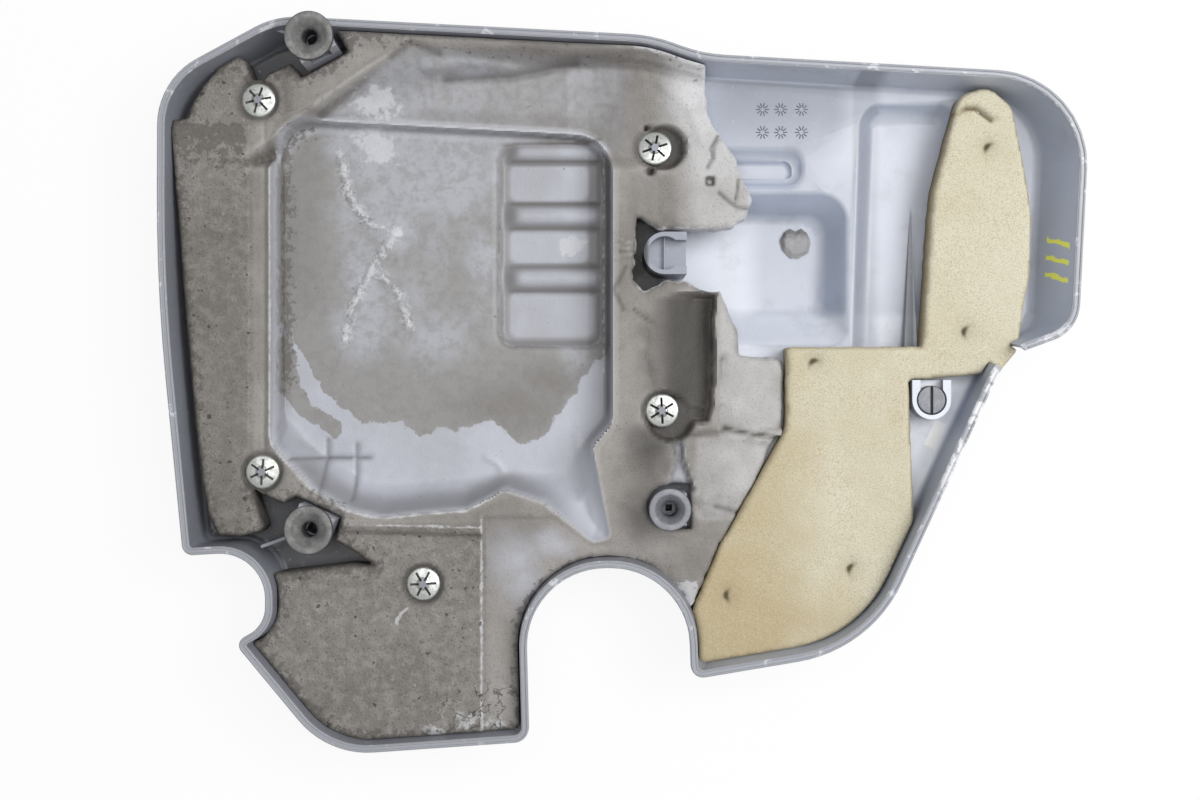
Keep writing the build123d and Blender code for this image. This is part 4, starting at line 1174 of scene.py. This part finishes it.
# %% Yellow foam
pin_places = [(125.0, 15.5), (149.0, -120.0), (68.0, -138.0), (224.0, 35.0), (239.0, 156.0)]
pin_turns = [0.5, 1.1, 1.6, 1.3, 0.9]
fold_run = [(219.0, 177.5), (225.0, 180.5), (231.0, 180.5), (241.5, 173.0)]
buffer_keep = (189.3, 216.7, -23.7, 3.7)
gap_way = np.array([np.cos(radians(-39.5)), np.sin(radians(-39.5))])


def flat_bottom(level):
    """Underside at one level, for a body over a plan."""
    return lambda x, y, z: np.full_like(z, level)


def turned_plan(x, y, spot, turn):
    """Plan coordinates about a spot, turned back by an angle."""
    u = (x - spot[0]) * np.cos(turn) + (y - spot[1]) * np.sin(turn)
    v = (y - spot[1]) * np.cos(turn) - (x - spot[0]) * np.sin(turn)
    return u, v


def sheet_plan(x, y):
    """Cut outline within the rim or within the gap in the wall, clear of the buffer's holder."""
    along = (x - gap_centre[0]) * gap_way[0] + (y - gap_centre[1]) * gap_way[1]
    across = -(x - gap_centre[0]) * gap_way[1] + (y - gap_centre[1]) * gap_way[0]
    gap = np.maximum(np.abs(along) - 25.0, np.abs(across) - 9.1)
    d = plan_distance(sheet_line, x, y) + 0.35 * lumps(x, y, 6, 41)
    room = np.minimum(plan_distance(rim, x, y) + 6.4, gap)
    return np.maximum(np.maximum(d, room), -box_distance(buffer_keep, 1.0, x, y))


def sheet_top(x, y, d):
    """Flat top with slow waves, rounded at its edge; at each pin a wide bell-shaped dimple with a short
    pucker across it; and a tip folded over, a ridge with a groove below it."""
    near = np.ones_like(x)
    sink = np.zeros_like(x)
    for spot, turn in zip(pin_places, pin_turns):
        u, v = turned_plan(x, y, spot, turn)
        near = near * (1.0 - np.exp(-(u**2 + v**2) / 40.0))
        sink = sink + 1.5 * np.exp(-(u**2 + v**2) / 90.0) + 0.8 * np.exp(-((u / 4.5) ** 2) - (v / 1.8) ** 2)
    waves = 0.45 * lumps(x, y, 45, 42) + 0.18 * lumps(x, y, 11, 43) + 0.12 * lumps(x, y, 2.4, 44)
    z = 46.6 - sink + near * waves
    fold = line_distance(fold_run, x, y)
    beyond = smooth(-1.0, 3.0, y - np.interp(x, *np.transpose(fold_run)))
    roll = 2.2 * np.exp(-(((fold - 5.5) / 4.0) ** 2)) * beyond * smooth(205, 218, x)
    z = np.minimum(z, 47.4) + roll - 2.8 * np.exp(-((fold / 1.5) ** 2))
    rolled = np.clip(1.0 + d / 3.2, 0.0, 1.0)
    return z - 3.0 * (1.0 - np.sqrt(1.0 - rolled**2))


sheet_columns = lines(42, 276, 1.9, [(px - 4, px + 4, 0.75) for px, py in pin_places] + [(217, 244, 0.9)])
sheet_rows = lines(-192, 200, 1.9, [(py - 4, py + 4, 0.75) for px, py in pin_places] + [(171, 186, 0.8)])
points, faces = plate(sheet_columns, sheet_rows, sheet_plan, sheet_top, flat_bottom(27.3))
print("sheet spans", points.min(axis=0).round(1), points.max(axis=0).round(1))

# %% Yellow foam marks and piece
x, y, z = points.T
# A browner tone towards the left and near parts, and painted shade on the sheet's sides, which stand low.
warm_and_side_shade = smooth(150, 55, x) * smooth(40, -70, y) + 0.5 * smooth(-120, -175, y)
warm_and_side_shade = warm_and_side_shade + 0.25 * lumps(x, y, 38, 45) + 0.15 * lumps(x, y, 13, 46)
# Painted shade in the pin dimples' puckers, along the fold's groove and on the sheet's sides.
pit_shade = np.zeros_like(x)
for spot, turn in zip(pin_places, pin_turns):
    u, v = turned_plan(x, y, spot, turn)
    pucker = 1.2 * np.exp(-((u / 3.4) ** 2) - ((v + 0.10 * u * u) / 1.6) ** 2)
    pit_shade = np.maximum(pit_shade, pucker + 0.16 * np.exp(-(u**2 + v**2) / 50.0))
pit_shade = np.maximum(pit_shade, 0.8 * np.exp(-((line_distance(fold_run, x, y) / 1.2) ** 2)) * smooth(219, 227, x))
warm_and_side_shade = np.maximum(warm_and_side_shade, 0.8 * smooth(45.6, 43.0, z))
pit_shade = np.maximum(pit_shade, (0.42 + 0.5 * smooth(130, 196, x)) * smooth(44.6, 41.0, z))
side_marks = {"warm_and_side_shade": warm_and_side_shade, "pit_shade": pit_shade}
side_foam = piece(
    "side_absorber_foam", points, faces, "side_absorber", sharp=60.0, marks=side_marks
)

# %% Yellow foam finish
yellow, tree, shader = finish("open_cell_foam", roughness=0.95, specular=0.2)
pore = place_group(tree, "fine_specks", Scale=1300.0, Low=0.46, High=0.68)
grit = place_group(tree, "fine_specks", Scale=850.0, Low=0.58, High=0.72)
cloud = place_group(tree, "dirt_mottle", Scale=16.0, Low=0.35, High=0.70)
# Browner tone and painted shade on the sides, from their mark.
colour = layer(tree, (0.68, 0.645, 0.515), (0.52, 0.425, 0.265), mark_node(tree, "warm_and_side_shade"))
colour = layer(tree, colour, (0.53, 0.475, 0.315), times(tree, cloud, 0.35))
colour = layer(tree, colour, (0.36, 0.305, 0.180), times(tree, pore, 0.55))
colour = layer(tree, colour, (0.76, 0.73, 0.60), times(tree, grit, 0.30))
# Painted shade, nearly black, in the puckers, the fold and the sides.
colour = layer(tree, colour, (0.085, 0.068, 0.038), times(tree, mark_node(tree, "pit_shade"), 0.95))
tree.links.new(colour, shader.inputs["Base Color"])
raise_bump(tree, shader, place_group(tree, "moulded_grain", Scale=1100.0, Broad_Scale=240.0), 0.45, 0.0008)
side_foam.data.materials.append(yellow)
print("yellow foam finish:", yellow.name)

# %% [markdown]
# ## Push nuts
# Five pressed steel discs with a star of slots are pushed over the plastic studs and bite into them. They
# are slightly domed and zinc plated. The plan builder cuts the star from the disc, and one disc is set at
# each stud.

# %% Push nuts
def nut_plan(x, y):
    """Disc with a stud hole and six slots: each slot is the point turned back by its angle, held to a thin
    box."""
    r = np.hypot(x, y)
    d = np.maximum(r - 10.9, 2.5 - r)
    for turn in np.arange(6) * np.pi / 3:
        u = x * np.cos(turn) + y * np.sin(turn)
        v = -x * np.sin(turn) + y * np.cos(turn)
        d = np.maximum(d, -np.maximum(np.abs(v) - 0.75, np.abs(u - 5.0) - 3.6))
    return d


def nut_top(x, y, d):
    """Shallow dome with a turned-down rim and teeth that rise towards the stud."""
    r = np.hypot(x, y)
    return 0.9 + 1.1 * (1 - (r / 11.0) ** 2) + 0.9 * smooth(4.6, 2.6, r) - 0.4 * smooth(10.2, 10.9, r)


def nut_bottom(x, y, z):
    """Underside of the sheet metal, 0.8 mm below the top."""
    return z - 0.8


nut_lines = lines(-11.4, 11.4, 0.38)
disc, disc_faces = plate(nut_lines, nut_lines, nut_plan, nut_top, nut_bottom)
tilts = np.array([(0.02, 0.03), (-0.03, 0.02), (0.02, -0.02), (0.07, -0.10), (0.03, 0.05)])
turns = np.radians([12.0, 25.0, 3.0, 18.0, 33.0])
lean_x, lean_y = tilts[:, :1], tilts[:, 1:]
turned_x = disc[None, :, 0] * np.cos(turns)[:, None] - disc[None, :, 1] * np.sin(turns)[:, None]
turned_y = disc[None, :, 0] * np.sin(turns)[:, None] + disc[None, :, 1] * np.cos(turns)[:, None]
lifted = disc[None, :, 2] + turned_x * lean_x + turned_y * lean_y
studs = np.array(nut_places)
nut_points = np.stack([turned_x + studs[:, :1], turned_y + studs[:, 1:2], lifted + studs[:, 2:]], axis=2)
nut_points = nut_points.reshape(-1, 3)
nut_faces = (disc_faces[None] + (np.arange(5) * len(disc))[:, None, None]).reshape(-1, 4)
nuts = piece("push_nut_discs", nut_points, nut_faces, "push_nuts", sharp=35.0)

# %% Push nut finish
zinc, tree, shader = finish("zinc_plate", metallic=0.85)
tarnish = place_group(tree, "dirt_mottle", Scale=260.0, Low=0.40, High=0.66)
dull = place_group(tree, "fine_specks", Scale=700.0, Low=0.52, High=0.70)
colour = layer(tree, (0.66, 0.68, 0.66), (0.50, 0.52, 0.49), tarnish)
colour = layer(tree, colour, (0.22, 0.215, 0.19), times(tree, dull, 0.45))
tree.links.new(colour, shader.inputs["Base Color"])
tree.links.new(blend_value(tree, 0.30, 0.48, tarnish), shader.inputs["Roughness"])
nuts.data.materials.append(zinc)
print("push nut finish:", zinc.name)

# %% [markdown]
# ## Rubber sockets and buffer
# Three rubber sockets take the ball studs of the engine: a flange, a funnel that guides the ball in, and a
# bore. Each is a turned part, so its profile is carried round the bore's axis. The slit buffer is a short
# rubber plug.

# %% Sockets
def turned(profile, centre, count=64):
    """Surface of revolution: each profile point (radius, height) is carried round the centre in equal
    steps."""
    angle = np.arange(count) * 2 * np.pi / count
    r, h = np.asarray(profile, float).T
    px = centre[0] + np.cos(angle)[:, None] * r[None]
    py = centre[1] + np.sin(angle)[:, None] * r[None]
    pz = np.broadcast_to(centre[2] + h[None], px.shape)
    return np.stack([px, py, pz], axis=2).reshape(-1, 3), grid_faces(count, len(r), True, True)


def socket_profile(seat):
    """Closed profile of a socket for that seat radius: plug, flange with rounded edges, curved funnel,
    bore."""
    plug, flange = seat - 0.5, seat + 6.0
    t = np.linspace(0, 1, 9)
    funnel_r = 4.75 + (flange - 3.6 - 4.75) * (1 - t) ** 1.25
    funnel_h = 3.9 - 5.9 * t
    edge = [(flange - 0.7, 0.0), (flange, 0.7), (flange, 3.1)]
    edge += [(flange - 0.35, 3.75), (flange - 1.1, 4.0), (flange - 2.9, 4.0)]
    start = [(4.75, -17.0), (plug, -17.0), (plug, 0.0)]
    return start + edge + list(zip(funnel_r, funnel_h)) + [(4.75, -3.0)]


def rubber_finish(name, deep, face, worn):
    """Rubber with painted shade where a face does not look up, as in the funnel and bore; faces that look up
    are dusty and painted lighter, and it is worn light in patches.
    """
    material, tree, shader = finish(name, roughness=0.62, specular=0.45)
    dust_and_light = place_group(tree, "upward_dust_and_light", From=0.55, To=1.0)
    film = place_group(tree, "dirt_mottle", Scale=170.0, Low=0.42, High=0.62)
    grit = place_group(tree, "fine_specks", Scale=900.0, Low=0.58, High=0.70)
    # Painted shade: faces that do not look up keep the dark colour, as in the funnel and bore; up-facing
    # faces get the dusty, lighter one.
    colour = layer(tree, deep, face, dust_and_light)
    colour = layer(tree, colour, worn, times(tree, film, dust_and_light, 0.5))
    colour = layer(tree, colour, worn, times(tree, grit, 0.25))
    tree.links.new(colour, shader.inputs["Base Color"])
    raise_bump(tree, shader, place_group(tree, "moulded_grain", Scale=800.0, Broad_Scale=200.0), 0.2, 0.0005)
    return material


dusty_rubber = rubber_finish("dusty_rubber", (0.060, 0.060, 0.061), (0.17, 0.168, 0.165), (0.34, 0.34, 0.335))
clean_rubber = rubber_finish("clean_rubber", (0.095, 0.098, 0.110), (0.25, 0.258, 0.285), (0.40, 0.41, 0.44))
sockets = [
    ("upper_socket", (-199.5, 221.5, 76.0), 9.6, dusty_rubber),
    ("lower_socket", (-200.7, -93.0, 70.0), 9.6, dusty_rubber),
    ("centre_socket", (30.3, -80.0, 70.0), 7.6, clean_rubber),
]
for node_name, spot, seat, rubber in sockets:
    points, faces = turned(socket_profile(seat), spot)
    made = piece(node_name + "_rubber", points, faces, node_name, sharp=50.0)
    made.data.materials.append(rubber)

# %% Slit buffer
buffer_spot = (203.0, -10.0)


def buffer_top(x, y, d):
    """Flat top with a rounded edge and a narrow slit across its middle."""
    rolled = np.clip(1.0 + d / 1.2, 0.0, 1.0)
    slit = smooth(0.9, 0.35, np.abs(x - buffer_spot[0]))
    return 44.9 - 1.1 * (1 - np.sqrt(1 - rolled**2)) - 3.6 * slit


def disc_plan(x, y):
    """Distance from the buffer's middle, less its radius."""
    return np.hypot(x - buffer_spot[0], y - buffer_spot[1]) - 9.35


points, faces = plate(lines(193, 213, 0.4), lines(-20, 0, 0.4), disc_plan, buffer_top, flat_bottom(37.1))
buffer = piece("slit_buffer_rubber", points, faces, "slit_buffer", sharp=50.0)
buffer.data.materials.append(clean_rubber)

# %% [markdown]
# ## What is left of another pad
# A torn disc of the same grey foam still sticks to the pocket's floor. A blank paper label sits on the
# wing's floor.

# %% Torn remnant
remnant_line = [
    (109, 93), (108.2, 98.5), (110.5, 103.5), (115, 106.3), (119, 104.5), (122.5, 106.5), (127, 102.5),
    (129, 96.5), (127, 90), (121.5, 86.5), (115, 86.8),
]


def remnant_plan(x, y):
    """Torn outline, roughened a little."""
    return plan_distance(remnant_line, x, y) + 0.5 * lumps(x, y, 2.2, 51)


def remnant_top(x, y, d):
    """Low dome that thins to its edge, with a lumpy torn face."""
    torn = 0.3 + 0.7 * smooth(97, 103, y)
    z = 4.8 + 1.7 * smooth(0, -3, d) + torn * (0.6 * lumps(x, y, 2.4, 52) + 0.3 * lumps(x, y, 1.2, 53))
    return np.minimum(z, 7.0)


points, faces = plate(lines(107, 131, 0.5), lines(85, 108, 0.5), remnant_plan, remnant_top, flat_bottom(3.0))
x, y, z = points.T
# Painted shade along the disc's torn far side and its left edge; the glaze is its skin.
dark = {"painted_shade": 0.55 * smooth(98, 104, y) + 0.5 * smooth(112, 109, x), "glaze": np.full(len(x), 0.35)}
remnant = piece("torn_pad_disc", points, faces, "foam_remnant", sharp=60.0, marks=dark)
remnant.data.materials.append(grey)

# %% Blank label
paper, tree, shader = finish("label_paper", roughness=0.6)
scuff = place_group(tree, "dirt_mottle", Scale=180.0, Low=0.5, High=0.8)
tree.links.new(layer(tree, (0.96, 0.96, 0.96), (0.88, 0.88, 0.87), scuff), shader.inputs["Base Color"])
label = nodes["blank_label"]
label.data.materials.clear()
label.data.materials.append(paper)
print("label:", label.name)

# %% [markdown]
# ## Floor, light and camera
# The cover lies on a white table under soft light that comes from above and the right. The camera hangs
# over it and looks straight down with a normal lens, so the far and near walls lean outwards alike.

# %% Table
size = 6.0
floor_mesh = bpy.data.meshes.new("table")
table_corners = [(-size, -size, 0), (size, -size, 0), (size, size, 0), (-size, size, 0)]
floor_mesh.from_pydata(table_corners, [], [(0, 1, 2, 3)])
floor = bpy.data.objects.new("table", floor_mesh)
bpy.context.collection.objects.link(floor)
table_white, tree, shader = finish("table_white", roughness=0.8, specular=0.2)
shader.inputs["Base Color"].default_value = (0.92, 0.92, 0.92, 1.0)
glow = tree.nodes.new("ShaderNodeEmission")
seen = tree.nodes.new("ShaderNodeLightPath")
blend = tree.nodes.new("ShaderNodeMixShader")
direct = larger(tree, seen.outputs["Is Camera Ray"], seen.outputs["Is Transmission Ray"])
tree.links.new(times(tree, direct, 0.9), blend.inputs[0])
tree.links.new(shader.outputs["BSDF"], blend.inputs[1])
tree.links.new(glow.outputs["Emission"], blend.inputs[2])
tree.links.new(blend.outputs["Shader"], tree.nodes["Material Output"].inputs["Surface"])
floor.data.materials.append(table_white)
print("table:", floor.name)

# %% Light and camera
world = bpy.data.worlds.new("studio")
bpy.context.scene.world = world
world.use_nodes = True
tree = world.node_tree
back = tree.nodes["Background"]
seen = tree.nodes.new("ShaderNodeLightPath")
direct = larger(tree, seen.outputs["Is Camera Ray"], seen.outputs["Is Transmission Ray"])
tree.links.new(blend_value(tree, 0.40, 1.0, direct), back.inputs["Strength"])
back.inputs["Color"].default_value = (1.0, 1.0, 1.0, 1.0)


def softbox(name, place, aim, wide, deep, power):
    """Rectangular lamp at a place, turned to face a point."""
    lamp = bpy.data.lights.new(name, "AREA")
    lamp.shape = "RECTANGLE"
    lamp.size, lamp.size_y, lamp.energy = wide, deep, power
    holder = bpy.data.objects.new(name, lamp)
    bpy.context.collection.objects.link(holder)
    holder.location = place
    holder.rotation_mode = "QUATERNION"
    holder.rotation_quaternion = (Vector(aim) - Vector(place)).to_track_quat("-Z", "Y")
    return holder


softbox("key_right", (1.1, 0.35, 1.7), (0.0, 0.0, 0.0), 1.1, 0.9, 24.5)
softbox("overhead", (0.0, 0.2, 2.4), (0.0, 0.0, 0.0), 1.6, 1.6, 15.0)

camera_data = bpy.data.cameras.new("camera")
camera = bpy.data.objects.new("camera", camera_data)
bpy.context.collection.objects.link(camera)
camera_data.lens = 50.0
camera_data.sensor_width = 36.0
camera.location = (-0.0144, -0.0100, 1.137)
bpy.context.scene.camera = camera
bpy.context.scene.view_settings.view_transform = "Standard"
print("camera at", tuple(round(value, 4) for value in camera.location))
